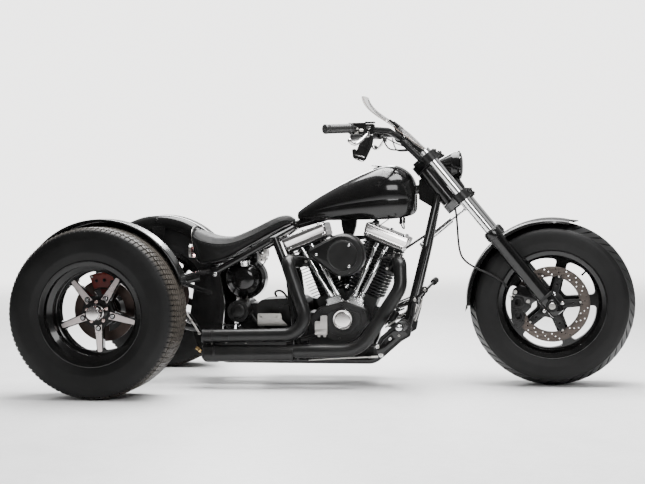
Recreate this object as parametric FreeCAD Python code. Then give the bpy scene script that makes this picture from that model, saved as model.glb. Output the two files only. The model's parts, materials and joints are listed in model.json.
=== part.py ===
import FreeCAD, Part
import os
from math import asin, atan2, cos, degrees, radians, sin, sqrt, tan

# Motorized trike: one steered wheel in front, a finned V-twin in a tube frame,
# and two car-type wheels on a rear axle.
# Millimetres. +X is forward, +Y is left, +Z is up. The origin is on the ground,
# midway between the axles and between the rear wheels.

os.makedirs("parts", exist_ok=True)
V = FreeCAD.Vector
ORIGIN = V(0, 0, 0)
ACROSS = V(0, -1, 0)
AHEAD = V(1, 0, 0)
SIDES = (("left", 1), ("right", -1))

# ---- overall sizes -------------------------------------------------------
wheelbase = 1730.0
front_reach = 865.0
rear_track = 1016.0
tyre_radius = 328.5
front_tyre_width = 230.0
rear_tyre_width = 241.0
front_axle = V(front_reach, 0, tyre_radius)
rear_axle = V(front_reach - wheelbase, 0, tyre_radius)

# ---- running clearances --------------------------------------------------
gap = 6.0
pin_gap = 0.5
bearing_gap = 2.0

# ---- steering and fork ---------------------------------------------------
fork_angle = 39.0
fork_up = V(-sin(radians(fork_angle)), 0, cos(radians(fork_angle)))
fork_out = V(cos(radians(fork_angle)), 0, sin(radians(fork_angle)))
tube_spread = 152.0
tube_radius = 20.5
slider_radius = 30.0
slider_top = 376.0
slider_foot = -42.0
slider_overlap = 60.0
stem_offset = 58.0
lower_clamp_at = 555.0
upper_clamp_at = 754.0
tube_top = 790.0
clamp_height = 38.0
clamp_wall = 12.5
stem_radius = 12.5
head_tube_radius = 32.0
head_tube_bore = 18.0
axle_radius = 12.5
axle_bore = 8.0

# ---- frame tubes ---------------------------------------------------------
backbone_radius = 19.0
cradle_radius = 15.0
post_radius = 16.0
rail_radius = 14.0
cradle_spread = 120.0
rail_height = 103.0
plate_top = 112.0

# ---- engine --------------------------------------------------------------
crank = V(41, 0, 192)
bank_angle = 22.0
deck_at = 190.0
head_at = 330.0
rocker_at = 405.0
rocker_height = 62.0
engine_half = 66.0
barrel_radius = 50.0
fin_thickness = 4.0

# ---- exhaust -------------------------------------------------------------
pipe_radius = 27.0
pipe_wall = 2.5


def on_fork(along, out=0.0, side=0.0):
    """A point by its height up the fork from the axle, ahead of the tubes, and to the left."""
    return front_axle + fork_up * along + fork_out * out + V(0, side, 0)


def on_bank(lean, along, across, y=0.0):
    """A point by its height up a cylinder from the crank, and across it; lean is -1 rear, 1 front."""
    turn = radians(bank_angle) * lean
    up = V(sin(turn), 0, cos(turn))
    over = V(cos(turn), 0, -sin(turn))
    return crank + up * along + over * across + V(0, y, 0)


def polar(radius, angle):
    """x and z of a point at an angle above straight ahead."""
    return radius * cos(radians(angle)), radius * sin(radians(angle))


def ray(start, end):
    return (end - start).normalize()


def outline(corners, place):
    """A closed wire through rows of a, b and corner radius, set in space by place(a, b)."""
    flat = [V(a, b, 0) for a, b, radius in corners]
    spans = []
    for index, (a, b, radius) in enumerate(corners):
        here = flat[index]
        came = ray(flat[index - 1], here)
        goes = ray(here, flat[(index + 1) % len(flat)])
        half = came.getAngle(goes) / 2
        cut = radius * tan(half)
        middle = here
        if radius > 0:
            middle = here + (goes - came).normalize() * (radius / cos(half) - radius)
        spans.append((here - came * cut, middle, here + goes * cut, radius))
    edges = []
    for index, (enter, middle, leave, radius) in enumerate(spans):
        if radius > 0:
            arc = Part.Arc(place(enter.x, enter.y), place(middle.x, middle.y), place(leave.x, leave.y))
            edges.append(arc.toShape())
        after = spans[(index + 1) % len(spans)][0]
        if (after - leave).Length > 0.001:
            edges.append(Part.makeLine(place(leave.x, leave.y), place(after.x, after.y)))
    return Part.Wire(edges)


def side_plate(corners, y_from, y_to):
    """A plate with its outline in the side view, from one y to another."""
    face = Part.Face(outline(corners, lambda x, z: V(x, y_from, z)))
    return face.extrude(V(0, y_to - y_from, 0))


def spun(corners, centre, side=1, first=0.0, sweep=360.0):
    """A profile of radius and distance outboard, turned about a wheel's axle."""
    face = Part.Face(outline(corners, lambda r, y: V(r, side * y, 0)))
    solid = face.revolve(ORIGIN, ACROSS, sweep)
    solid.rotate(ORIGIN, ACROSS, first)
    solid.translate(centre)
    return solid


def turned(corners, centre):
    """A profile of radius and distance ahead, turned about a line pointing ahead."""
    face = Part.Face(outline(corners, lambda r, ahead: V(ahead, r, 0)))
    solid = face.revolve(ORIGIN, AHEAD, 360)
    solid.translate(centre)
    return solid


def ring(inner, outer, y_from, y_to):
    return [(inner, y_from, 0), (outer, y_from, 0), (outer, y_to, 0), (inner, y_to, 0)]


def rod(radius, start, end):
    return Part.makeCylinder(radius, (end - start).Length, start, end - start)


def route(rows):
    """Straight runs and tangent arcs through rows of x, y, z and bend radius."""
    edges = []
    begin = V(*rows[0][:3])
    for index in range(1, len(rows) - 1):
        before, here, after = (V(*rows[index + step][:3]) for step in (-1, 0, 1))
        came = ray(before, here)
        goes = ray(here, after)
        half = came.getAngle(goes) / 2
        bend = rows[index][3]
        start = here - came * (bend * tan(half))
        finish = here + goes * (bend * tan(half))
        middle = here + (goes - came).normalize() * (bend / cos(half) - bend)
        edges.append(Part.makeLine(begin, start))
        edges.append(Part.Arc(start, middle, finish).toShape())
        begin = finish
    edges.append(Part.makeLine(begin, V(*rows[-1][:3])))
    return Part.Wire(edges)


def bent_tube(radius, rows):
    start = V(*rows[0][:3])
    ring_edge = Part.makeCircle(radius, start, V(*rows[1][:3]) - start)
    return route(rows).makePipe(Part.Face(Part.Wire(ring_edge)))


def cord(radius, points):
    """A hose whose bends are as wide as its runs allow."""
    rows = [points[0] + (0,)]
    for before, here, after in zip(points, points[1:], points[2:]):
        came = V(*here) - V(*before)
        goes = V(*after) - V(*here)
        half = came.getAngle(goes) / 2
        rows.append(here + (0.45 * min(came.Length, goes.Length) / tan(half),))
    return bent_tube(radius, rows + [points[-1] + (0,)])


def joined(shapes):
    first = shapes[0]
    solid = first.fuse(shapes[1:]) if len(shapes) > 1 else first
    return solid.removeSplitter()


def box(x_from, x_to, y_from, y_to, z_from, z_to):
    return Part.makeBox(x_to - x_from, y_to - y_from, z_to - z_from, V(x_from, y_from, z_from))


def mirrored(shape):
    return shape.mirror(ORIGIN, V(0, 1, 0))


def flipped(rows):
    return [(row[0], -row[1]) + tuple(row[2:]) for row in rows]


def save(node, shape):
    shape.exportStep("parts/" + node + ".step")


# ---- wheels --------------------------------------------------------------
front_bead = 101.0
rear_bead = 104.0
front_bead_radius = 203.0
rear_bead_radius = 190.5
lip_height = 13.5
lip_thickness = 6.0
front_drop_radius = 193.5
rear_drop_radius = 172.0
rim_wall = 7.5
spoke_count = 5
spoke_pitch = 360.0 / spoke_count
disc_half = 2.5


def tyre_profile(bead_radius, half_width, bead, shoulder):
    """Radius, y and corner radius; shoulder rows are given for one side only."""
    lip_radius = bead_radius + lip_height
    wall = [(bead_radius, bead, 0), (lip_radius, bead, 0), (lip_radius, bead + lip_thickness, 0),
            (bead_radius + 44, half_width, 24)]
    one_side = wall + shoulder
    return one_side + [(r, -y, c) for r, y, c in reversed(one_side)]


front_shoulder = [
    (286, front_tyre_width / 2, 26),
    (316, front_tyre_width / 2 - 23, 40),
    (tyre_radius, front_tyre_width / 2 - 75, 200),
]
rear_shoulder = [
    (285, rear_tyre_width / 2, 60),
    (318, rear_tyre_width / 2 - 8.5, 20),
    (tyre_radius, rear_tyre_width / 2 - 36.5, 60),
]


def barrel_profile(bead_radius, bead, drop):
    lip_radius = bead_radius + lip_height
    inner = bead_radius - rim_wall
    drop_inner = drop - rim_wall
    outside = [(lip_radius, bead), (bead_radius, bead), (bead_radius, bead - 29), (drop, bead - 43)]
    inside = [(lip_radius, bead + lip_thickness), (inner, bead + 2), (inner, bead - 31),
              (drop_inner, bead - 45)]
    loop = outside + [(r, -y) for r, y in reversed(outside)]
    loop += [(r, -y) for r, y in inside] + [(r, y) for r, y in reversed(inside)]
    return [(r, y, 0) for r, y in loop]


def window(inner, outer, root_half, tip_half, corner, angle):
    """The opening between two spokes, its outer edge following the rim."""
    root = spoke_pitch / 2 - degrees(asin(root_half / inner))
    tip = spoke_pitch / 2 - degrees(asin(tip_half / outer))
    middle = angle + spoke_pitch / 2
    corners = []
    for radius, offset, bend in (
        (inner, -root, corner), (outer, -tip, corner), (outer / cos(radians(tip)), 0, 0.74 * outer),
        (outer, tip, corner), (inner, root, corner),
    ):
        x, z = polar(radius, middle + offset)
        corners.append((x, z, bend))
    return corners


def cast_wheel(centre, bead_radius, bead, drop, side, hub, web, openings):
    """hub: inner radius, outer radius, y from, y to. web: y from, y to.

    openings: inner radius, outer radius, half width of a spoke at its root and tip, corner radius,
    angle of the first spoke.
    """
    web_ring = ring(hub[1] - 4, drop - rim_wall + 1, *web)
    barrel = barrel_profile(bead_radius, bead, drop)
    pieces = [spun(profile, centre, side) for profile in (barrel, ring(*hub), web_ring)]
    wheel = joined(pieces)
    inner, outer, root_half, tip_half, corner, first = openings
    reach = abs(web[0]) + abs(web[1])
    cuts = []
    for index in range(spoke_count):
        hole = side_plate(window(inner, outer, root_half, tip_half, corner, first + spoke_pitch * index),
                          -reach, reach)
        hole.translate(centre)
        cuts.append(hole)
    return wheel.cut(cuts)


def brake_disc(centre, side, inner, outer, y_face, arm_half, hub_inner, hub_outer, first):
    """A ring on arms from its bolted middle; y_face is its outboard face."""
    low = y_face - 2 * disc_half
    pieces = [spun(ring(inner, outer, low, y_face), centre, side),
              spun(ring(hub_inner, hub_outer, low, y_face), centre, side)]
    for index in range(spoke_count):
        arm = side_plate(
            [(hub_outer - 4, -arm_half, 0), (inner + 4, -arm_half, 0), (inner + 4, arm_half, 0),
             (hub_outer - 4, arm_half, 0)],
            side * low, side * y_face)
        arm.rotate(ORIGIN, ACROSS, first + spoke_pitch * index)
        arm.translate(centre)
        pieces.append(arm)
    return joined(pieces)


front_hub_half = 82.5
front_hub_radius = 46.0
front_disc_radius = 150.0
front_spokes_from = 4.0
front_disc_face = front_hub_half + 2 * disc_half
save("front_tyre", spun(tyre_profile(front_bead_radius, front_tyre_width / 2, front_bead, front_shoulder),
                        front_axle))
save("front_rim", cast_wheel(
    front_axle, front_bead_radius, front_bead, front_drop_radius, 1,
    (axle_radius + pin_gap, front_hub_radius, -front_hub_half, front_hub_half),
    (-22, 18),
    (62, 176, 24, 21, 14, front_spokes_from)))
save("front_brake_disc", brake_disc(
    front_axle, -1, 109, front_disc_radius, front_disc_face, 13, 22, 50, front_spokes_from))

rear_half_track = rear_track / 2
half_shaft_radius = 20.0
rear_hub_radius = 50.0
rear_disc_radius = 122.0
rear_hub_inboard = 78.0
rear_face = 9.0
spoke_face_rise = 4.0
shaft_reach = 150.0
housing_end = 92.0
first_spoke = {"right": 57.0, "left": 123.0}
for name, side in SIDES:
    centre = rear_axle + V(0, side * rear_half_track, 0)
    save("rear_tyre_" + name, spun(tyre_profile(rear_bead_radius, rear_tyre_width / 2, rear_bead,
                                                rear_shoulder), centre))
    wheel = cast_wheel(
        centre, rear_bead_radius, rear_bead, rear_drop_radius, side,
        (half_shaft_radius, rear_hub_radius, -rear_hub_inboard, 20),
        (-16, rear_face),
        (66, 150, 17, 13, 10, first_spoke[name]))
    faces = []
    for index in range(spoke_count):
        face = side_plate([(48, -14.5, 0), (154, -8.5, 5), (154, 8.5, 5), (48, 14.5, 0)],
                          side * (rear_face - 1), side * (rear_face + spoke_face_rise))
        face.rotate(ORIGIN, ACROSS, first_spoke[name] + spoke_pitch * index)
        face.translate(centre)
        faces.append(face)
    save("rear_rim_" + name, joined([wheel, *faces]))
    save("rear_brake_disc_" + name, brake_disc(
        centre, side, 84, rear_disc_radius, -rear_hub_inboard, 14, half_shaft_radius + 2, 50,
        first_spoke[name]))
    shaft = [
        (0, -shaft_reach, 0), (half_shaft_radius, -shaft_reach, 0), (half_shaft_radius, 20, 0),
        (28, 20, 0), (28, 66, 0), (26, 76, 4), (0, 76, 0),
    ]
    save("rear_hub_" + name, spun(shaft, centre, side))

# ---- rear axle, brakes and fenders ---------------------------------------
housing_radius = 38.0
housing_bore = 26.0
flange_radius = 62.0
flange_thickness = 12.0
end_at = rear_half_track - housing_end
half_housing = [
    (104, 20, 8), (96, 62, 12), (housing_radius, 84, 12), (housing_radius, end_at - flange_thickness, 0),
    (flange_radius, end_at - flange_thickness, 0), (flange_radius, end_at, 0), (housing_bore, end_at, 0),
]
housing = half_housing + [(r, -y, c) for r, y, c in reversed(half_housing)]
axle_housing = spun(housing, rear_axle)
save("rear_axle_housing", axle_housing)

caliper_inner = 90.0
caliper_reach = 148.0
caliper_half = 21.0
slot_half = gap + disc_half
calipers = []
for name, side in SIDES:
    centre = rear_axle + V(0, side * rear_half_track, 0)
    disc_mid = -rear_hub_inboard - disc_half
    body = [(caliper_inner, disc_mid - caliper_half, 4), (caliper_reach, disc_mid - caliper_half, 8),
            (caliper_reach, disc_mid + caliper_half, 8), (caliper_inner, disc_mid + caliper_half, 4)]
    slot = ring(caliper_inner - 8, rear_disc_radius + gap, disc_mid - slot_half, disc_mid + slot_half)
    caliper = spun(body, centre, side, 62, 50).cut(spun(slot, centre, side, 50, 80))
    arm = spun(ring(flange_radius, caliper_inner + 8, disc_mid - caliper_half, -housing_end), centre, side,
               70, 34)
    calipers.append(joined([caliper, arm]))
save("rear_brake_calipers", Part.makeCompound(calipers))

fender_radius = 340.0
fender_rise = 17.5
fender_wall = 4.0
fender_outboard = -18.0
fender_inboard = 131.0
fender_lip = 9.0
fender_skirt = 60.0
fender_edge = 7.0
fender_crown = 38.0
fender_from = 16.0
fender_sweep = 121.0
fender_ahead = 2.0
fenders = []
for name, side in SIDES:
    centre = rear_axle + V(fender_ahead, side * rear_half_track, fender_rise)
    outer = [(fender_radius - fender_lip, fender_outboard, 0), (fender_radius, fender_outboard, fender_edge),
             (fender_radius, -fender_inboard, fender_crown),
             (fender_radius - fender_skirt, -fender_inboard, 0)]
    inner_radius = fender_radius - fender_wall
    inner = [(inner_radius - fender_lip - 20, fender_outboard - fender_wall, 0),
             (inner_radius, fender_outboard - fender_wall, fender_edge - fender_wall),
             (inner_radius, fender_wall - fender_inboard, fender_crown - fender_wall),
             (inner_radius - fender_skirt - 20, fender_wall - fender_inboard, 0)]
    shell = spun(outer, centre, side, fender_from, fender_sweep)
    fenders.append(shell.cut(spun(inner, centre, side, fender_from - 5, fender_sweep + 10)))
save("rear_fenders", Part.makeCompound(fenders))
fender_face = rear_half_track - fender_inboard

# ---- frame spine: head tube, backbone, seat rails ------------------------
head_low = on_fork(lower_clamp_at + clamp_height / 2 + bearing_gap, -stem_offset)
head_high = on_fork(upper_clamp_at - clamp_height / 2 - bearing_gap, -stem_offset)
head_bore = rod(head_tube_bore, head_low - fork_up * 5, head_high + fork_up * 5)
backbone_rear = V(-182, 0, 645)
backbone_front = V(392, 0, 806)
gusset_half = 20.0
gusset = side_plate([(334, 826, 0), (372, 850, 0), (428, 764, 0), (404, 706, 0), (334, 748, 0)],
                    -gusset_half, gusset_half)
seat_rail = [(-176, 22, 640, 0), (-262, 96, 588, 60), (-486, 112, 463, 0)]
engine_hanger = [
    side_plate([(8, 718, 0), (84, 718, 0), (74, 640, 8), (62, 600, 8), (26, 600, 8), (16, 640, 8)], -17, 17),
    side_plate([(-32, 602, 0), (116, 602, 0), (116, 586, 0), (-32, 586, 0)], -16, 16),
]
spine = joined([
    rod(head_tube_radius, head_low, head_high),
    rod(backbone_radius, backbone_front, backbone_rear),
    gusset,
    rod(rail_radius, V(-176, -40, 640), V(-176, 40, 640)),
    rod(10, V(-352, -108, 538), V(-352, 108, 538)),
    bent_tube(rail_radius, seat_rail),
    bent_tube(rail_radius, flipped(seat_rail)),
    *engine_hanger,
]).cut(head_bore)

# ---- frame cradle --------------------------------------------------------
cradle_route = [
    (410, -20, 762, 0), (366, -86, 560, 60), (294, -112, 266, 60), (246, -116, 212, 60),
    (166, -cradle_spread, rail_height, 60), (-470, -cradle_spread, rail_height, 60),
    (-545, -cradle_spread, 214, 0),
]
post_route = [(-248, -100, 598, 0), (-187, -108, 440, 60), (-150, -cradle_spread, rail_height, 0)]
cradle_pieces = [
    bent_tube(cradle_radius, cradle_route),
    bent_tube(cradle_radius, flipped(cradle_route)),
    bent_tube(post_radius, post_route),
    bent_tube(post_radius, flipped(post_route)),
    rod(12, V(292, -112, 262), V(292, 112, 262)),
]
for x in (140, -30, -150, -300):
    cradle_pieces.append(box(x - 22, x + 22, -cradle_spread, cradle_spread, plate_top - 8, plate_top))
for side in (1, -1):
    for start, end in (((196, 294), (309, 340)), ((196, 250), (298, 286))):
        cradle_pieces.append(rod(6, V(start[0], side * 56, start[1]), V(end[0], side * 107, end[1])))
cradle_pieces.append(rod(5, V(286, -88, 552), V(366, -88, 604)))
damper_y = 121.0
damper_length = 235.0
damper_pin = 5.0
damper_eye = on_fork(514, -32, damper_y)
damper_foot = damper_eye - fork_out * damper_length
cradle_pieces.append(rod(damper_pin, damper_foot - fork_up * 26, damper_foot + fork_up * 9))
cradle_pieces.append(rod(6, damper_foot - fork_up * 20, V(364, 92, 548)))
cradle_node = joined(cradle_pieces).cut(spine)

# ---- frame rear section --------------------------------------------------
side_plate_corners = [
    (-572, 478, 20), (-478, 480, 10), (-455, 330, 30), (-478, 90, 12), (-548, 90, 30), (-604, 260, 30),
]
arm_half = 150.0
strut_radius = 9.0
tail = rear_axle.x
mount_half = 28.0
rear_pieces = [
    rod(14, V(-520, -cradle_spread, 470), V(-520, cradle_spread, 470)),
    rod(14, V(-560, -cradle_spread, 250), V(-560, cradle_spread, 250)),
]
for name, side in SIDES:
    rear_pieces.append(side_plate(side_plate_corners, side * (cradle_spread - 12),
                                  side * (cradle_spread + 2)))
    for start, end in (((-560, 440), (tail + 23, 372)), ((-572, 230), (tail + 29, 296))):
        rear_pieces.append(rod(18, V(start[0], side * (cradle_spread - 5), start[1]),
                               V(end[0], side * arm_half, end[1])))
    rear_pieces.append(side_plate([(tail - 40, 410, 20), (tail + 50, 410, 20), (tail + 65, 270, 20),
                                   (tail - 40, 250, 20)],
                                  side * (arm_half - 10), side * (arm_half + 10)))
    for start, end in (((-522, 462), (tail + 271, 451)), ((-516, 373), (tail + 274, 443))):
        rear_pieces.append(rod(strut_radius, V(start[0], side * (cradle_spread - 2), start[1]),
                               V(end[0], side * fender_face, end[1])))
    for low, high, inner in ((350, 636, fender_face - 8), (358, 384, arm_half + 9)):
        corners = [(tail - mount_half, low, 0), (tail - mount_half, high, 0), (tail + mount_half, high, 0),
                   (tail + mount_half, low, 0)]
        rear_pieces.append(side_plate(corners, side * inner, side * fender_face))
clear_half = V(0, end_at - 16, 0)
axle_clear = rod(housing_radius, rear_axle - clear_half, rear_axle + clear_half)
rear_section = joined(rear_pieces).cut([axle_clear, cradle_node, spine, axle_housing, *fenders])
save("frame_rear_section", rear_section)

# ---- engine --------------------------------------------------------------
flywheel_radius = 100.0
case = Part.makeCylinder(flywheel_radius, engine_half * 2, crank + V(0, -engine_half, 0), V(0, 1, 0))
decks = []
for lean in (-1, 1):
    foot_and_deck = ((40, -60), (40, 60), (deck_at, 60), (deck_at, -60))
    corners = [on_bank(lean, along, across) for along, across in foot_and_deck]
    decks.append(side_plate([(p.x, p.z, 0) for p in corners], -engine_half, engine_half))
case = joined([case, *decks, box(-118, 20, -engine_half, engine_half, 150, 290),
               box(-40, 150, -60, 60, plate_top, 150),
               side_plate([(120, 232, 8), (120, 306, 8), (206, 306, 12), (206, 240, 12)], -58, 58)])
case = case.common(box(-200, 300, -flywheel_radius, flywheel_radius, plate_top, 500))
save("crankcase", case)

cam_corners = [
    (-102, 268, 20), (-66, 316, 20), (42, 342, 6), (130, 313, 20), (138, 256, 24),
    (84, 186, 30), (6, 180, 24), (-72, 214, 24),
]
cam_face = -140.0
points_cover = V(35, 0, 269)
cam_block = side_plate(cam_corners, -engine_half, cam_face)
cam_edges = [edge for edge in cam_block.Edges if abs(edge.CenterOfMass.y - cam_face) < 0.01]
cam = joined([
    cam_block.makeChamfer(4, cam_edges),
    rod(40, points_cover + V(0, cam_face + 1, 0), points_cover + V(0, cam_face - 12, 0)),
])
cam = cam.cut(spun(ring(29, 35, 10, 14), points_cover + V(0, cam_face, 0), -1))
save("cam_cover", cam)


def bank_plate(lean, along_from, along_to, across_half, y_from, y_to, corner):
    """A slab square to a cylinder, such as one fin."""
    base = outline(
        [(-across_half, y_from, corner), (across_half, y_from, corner), (across_half, y_to, corner),
         (-across_half, y_to, corner)],
        lambda across, y: on_bank(lean, along_from, across, y))
    return Part.Face(base).extrude(on_bank(lean, along_to, 0) - on_bank(lean, along_from, 0))


def bank_section(lean, rows, across_half):
    """A prism across a cylinder through rows of height, y and corner radius."""
    face = Part.Face(outline(rows, lambda along, y: on_bank(lean, along, -across_half, y)))
    return face.extrude(on_bank(lean, 0, 2 * across_half) - on_bank(lean, 0, 0))


barrel_fins = 8
head_fins = 4
fin_start = 8.0
fin_spread = 62.0
head_spread = 86.0
cover_near = -102.0
cover_far = 72.0
cylinders = []
covers = []
for lean in (1, -1):
    stack = [rod(barrel_radius, on_bank(lean, deck_at, 0), on_bank(lean, head_at, 0))]
    pitch = (head_at - deck_at) / barrel_fins
    for index in range(barrel_fins):
        low = deck_at + fin_start + pitch * index
        stack.append(bank_plate(lean, low, low + fin_thickness, fin_spread + index, -72, 72, 22))
    stack.append(bank_plate(lean, head_at, rocker_at, 56, -62, 62, 12))
    pitch = (rocker_at - head_at) / head_fins
    for index in range(head_fins):
        low = head_at + 6 + pitch * index
        stack.append(bank_plate(lean, low, low + fin_thickness, head_spread, -78, 78, 16))
    cylinders.append(joined(stack))
    profile = (
        # height above the gasket, half length, corner radius
        (0, 84, 0), (9, 84, 0), (9, 88, 0), (24, 90, 0), (26.5, 87.5, 0), (29, 90.5, 0),
        (rocker_height, 95, 4),
    )
    corners = [(rocker_at + up, -out, c) for up, out, c in profile]
    corners += [(rocker_at + up, out, c) for up, out, c in reversed(profile)]
    flat = []
    for along, across, radius in corners:
        at = on_bank(lean, along, across)
        flat.append((at.x, at.z, radius))
    cover = side_plate(flat, cover_near, cover_far)
    crown = bank_section(lean, [
        (rocker_at - 1, cover_near, 0), (rocker_at + rocker_height - 7, cover_near, 4),
        (rocker_at + rocker_height, cover_near + 9, 6),
        (rocker_at + rocker_height, cover_far - 9, 6), (rocker_at + rocker_height - 7, cover_far, 4),
        (rocker_at - 1, cover_far, 0),
    ], 110)
    covers.append(cover.common(crown))
save("cylinders", Part.makeCompound(cylinders))
save("rocker_boxes", Part.makeCompound(covers))
spine = spine.cut([*cylinders, *covers])
save("frame_spine", spine)

pushrod_radius = 9.0
pushrod_top_y = -90.0
pushrod_foot_y = -112.0
rocker_cut = [bank_plate(lean, rocker_at, rocker_at + 40, 100, -120, 80, 2) for lean in (-1, 1)]


def tappet_block(lean, x, z):
    """Three stacked ribs under a pair of pushrod tubes, leaning with their cylinder."""
    ribs = []
    for half, low, high in ((38, 0, 5), (30, 4, 12), (34, 11, 15), (30, 14, 22), (33, 21, 25), (26, 24, 32)):
        plate = side_plate([(-half, low, 0), (half, low, 0), (half, high, 0), (-half, high, 0)], -132, -96)
        plate.rotate(ORIGIN, V(0, 1, 0), 16 * lean)
        plate.translate(V(x, 0, z))
        ribs.append(plate)
    return ribs


pushrods = []
for lean, block_at, feet in (
    (-1, (2, 332), ((-12, 354, -30), (14, 360, 12))),
    (1, (82, 328), ((76, 358, -22), (102, 350, 18))),
):
    pieces = tappet_block(lean, *block_at)
    for x, z, across in feet:
        foot = V(x, pushrod_foot_y, z)
        top = on_bank(lean, rocker_at, across, pushrod_top_y)
        pieces.append(rod(pushrod_radius, foot, top))
        pieces.append(rod(pushrod_radius + 2.5, foot, foot + ray(foot, top) * 24))
        pieces.append(rod(pushrod_radius + 2, top - ray(foot, top) * 74, top - ray(foot, top) * 66))
    pushrods.append(joined(pieces).cut([*rocker_cut, cam]))
save("pushrod_tubes", Part.makeCompound(pushrods))

intake = joined([
    rod(30, V(41, -128, 532), V(41, 10, 532)),
    box(-12, 94, -26, 26, 526, 556),
])
save("intake", intake.cut(cylinders))


def teardrop(centre, radius, tip, tip_radius):
    """Two circles in the side view and the straight sides between them."""
    apart = sqrt((tip[0] - centre[0]) ** 2 + (tip[1] - centre[1]) ** 2)
    heading = degrees(atan2(tip[1] - centre[1], tip[0] - centre[0]))
    open_angle = degrees(asin((radius - tip_radius) / apart))
    places = []
    for middle, size, turn in (
        (centre, radius, 90 - open_angle), (centre, radius, 180), (centre, radius, open_angle - 90),
        (tip, tip_radius, open_angle - 90), (tip, tip_radius, 0), (tip, tip_radius, 90 - open_angle),
    ):
        x, z = polar(size, heading + turn)
        places.append(V(middle[0] + x, 0, middle[1] + z))
    edges = [
        Part.Arc(*places[:3]).toShape(), Part.makeLine(places[2], places[3]),
        Part.Arc(*places[3:]).toShape(), Part.makeLine(places[5], places[0]),
    ]
    return Part.Face(Part.Wire(edges))


cleaner_centre = (46.0, 530.0)
cleaner_tip = (-76.0, 541.0)
cleaner_pieces = []
for size, tip_size, y_from, y_to in ((80, 14, -128, -138), (86, 20, -137, -196), (78, 12, -195, -206)):
    face = teardrop(cleaner_centre, size, cleaner_tip, tip_size)
    face.translate(V(0, y_from, 0))
    cleaner_pieces.append(face.extrude(V(0, y_to - y_from, 0)))
save("air_cleaner", joined(cleaner_pieces))

oil_pump = side_plate([(-78, 206, 4), (-28, 206, 4), (-28, 286, 6), (-52, 286, 6), (-52, 262, 2),
                       (-78, 262, 4)], -150, -engine_half)
save("oil_pump", oil_pump.cut(cam))

# ---- transmission and primary --------------------------------------------
gearbox_half = 78.0
gearbox = joined([
    side_plate([(-330, 160, 20), (-120, 160, 10), (-120, 340, 24), (-150, 355, 20), (-312, 343, 24),
                (-330, 320, 20)],
               -gearbox_half, gearbox_half),
    rod(60, V(-205, -gearbox_half + 1, 290), V(-205, -90, 290)),
    rod(36, V(-205, -89, 290), V(-205, -98, 290)),
    box(-310, -130, -50, 50, plate_top, 170),
    rod(44, V(-396, -140, 300), V(-396, 78, 300)),
    rod(30, V(-396, -139, 300), V(-396, -148, 300)),
    box(-420, -325, -60, 60, 160, 326),
])
gearbox = gearbox.cut(box(-118, 0, -100, 100, 100, 400))
save("transmission", gearbox)

guard_corners = [(-312, 293, 4), (-215, 293, 4), (-212, 268, 2), (-188, 244, 2), (-312, 243, 2)]
bracket = joined([
    side_plate(guard_corners, -152, -148),
    side_plate([(-296, 286, 0), (-232, 286, 0), (-232, 274, 0), (-296, 274, 0)], -149, -gearbox_half),
])
save("transmission_bracket", bracket.cut(gearbox))

primary_from = cradle_spread + 19
primary_to = primary_from + 62
clutch_centre = V(-230, 0, 240)
primary_face = teardrop((crank.x, crank.z + 10), 112, (clutch_centre.x, clutch_centre.z), 104)
primary_face.translate(V(0, primary_from, 0))
primary = primary_face.extrude(V(0, primary_to - primary_from, 0))
primary_edges = [edge for edge in primary.Edges if abs(edge.CenterOfMass.y - primary_to) < 0.01]
primary = joined([
    primary.makeFillet(12, primary_edges),
    rod(58, clutch_centre + V(0, primary_to - 2, 0), clutch_centre + V(0, primary_to + 7, 0)),
    rod(50, V(crank.x, engine_half, crank.z + 10), V(crank.x, primary_from + 1, crank.z + 10)),
    rod(38, V(-232, gearbox_half, 240), V(-232, primary_from + 1, 240)),
])
save("primary_cover", primary)

# ---- oil tank ------------------------------------------------------------
oil_tank_centre = V(-386, 0, 427)
oil_tank_side = [(85, 28, 30), (74, 66, 40), (40, 92, 40), (0, 96, 0)]
oil_tank_profile = [(r, -y, c) for r, y, c in reversed(oil_tank_side)] + oil_tank_side
filler = V(-373, -56, 0)
oil = joined([
    spun(oil_tank_profile, oil_tank_centre),
    rod(16, filler + V(0, 0, 470), filler + V(0, 0, 512)),
    rod(19, filler + V(0, 0, 511), filler + V(0, 0, 532)),
    box(-368, -336, -30, 30, 490, 540),
    box(-400, -370, -30, 30, 330, 360),
])
save("oil_tank", oil.cut([spine, gearbox]))

# ---- exhausts ------------------------------------------------------------
tail_x = -518.0
rear_pipe_route = [
    (-150, -60, 500, 0), (-186, -176, 506, 34), (-124, -214, 342, 120), (-74, -226, 216, 78),
    (tail_x, -240, 209, 0),
]
front_pipe_route = [
    (236, -60, 470, 0), (266, -136, 516, 34), (272, -172, 400, 90), (112, -222, 152, 130),
    (tail_x, -238, 146, 0),
]
heat_shield_from = -150.0
pipes = []
for pipe_route, cylinder in ((rear_pipe_route, cylinders[1]), (front_pipe_route, cylinders[0])):
    pipe = bent_tube(pipe_radius, pipe_route)
    tail = V(*pipe_route[-1][:3])
    along = ray(tail, V(*pipe_route[-2][:3]))
    bore = rod(pipe_radius - pipe_wall, tail - along * 5, tail + along * 120)
    pipes.append(pipe.cut([cylinder, bore]))
shield_start = V(heat_shield_from, -232, 150)
shield_end = V(tail_x + 8, -238, 136)
pipes[1] = joined([pipes[1], rod(pipe_radius + 3, shield_start - V(0, 0, 9), shield_end)]).cut(
    rod(pipe_radius - pipe_wall, V(tail_x - 5, -238, 146), V(tail_x + 120, -237, 147)))
save("exhausts", Part.makeCompound(pipes))

save("frame_cradle", cradle_node.cut([case, gearbox, *pipes, *covers]))

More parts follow.
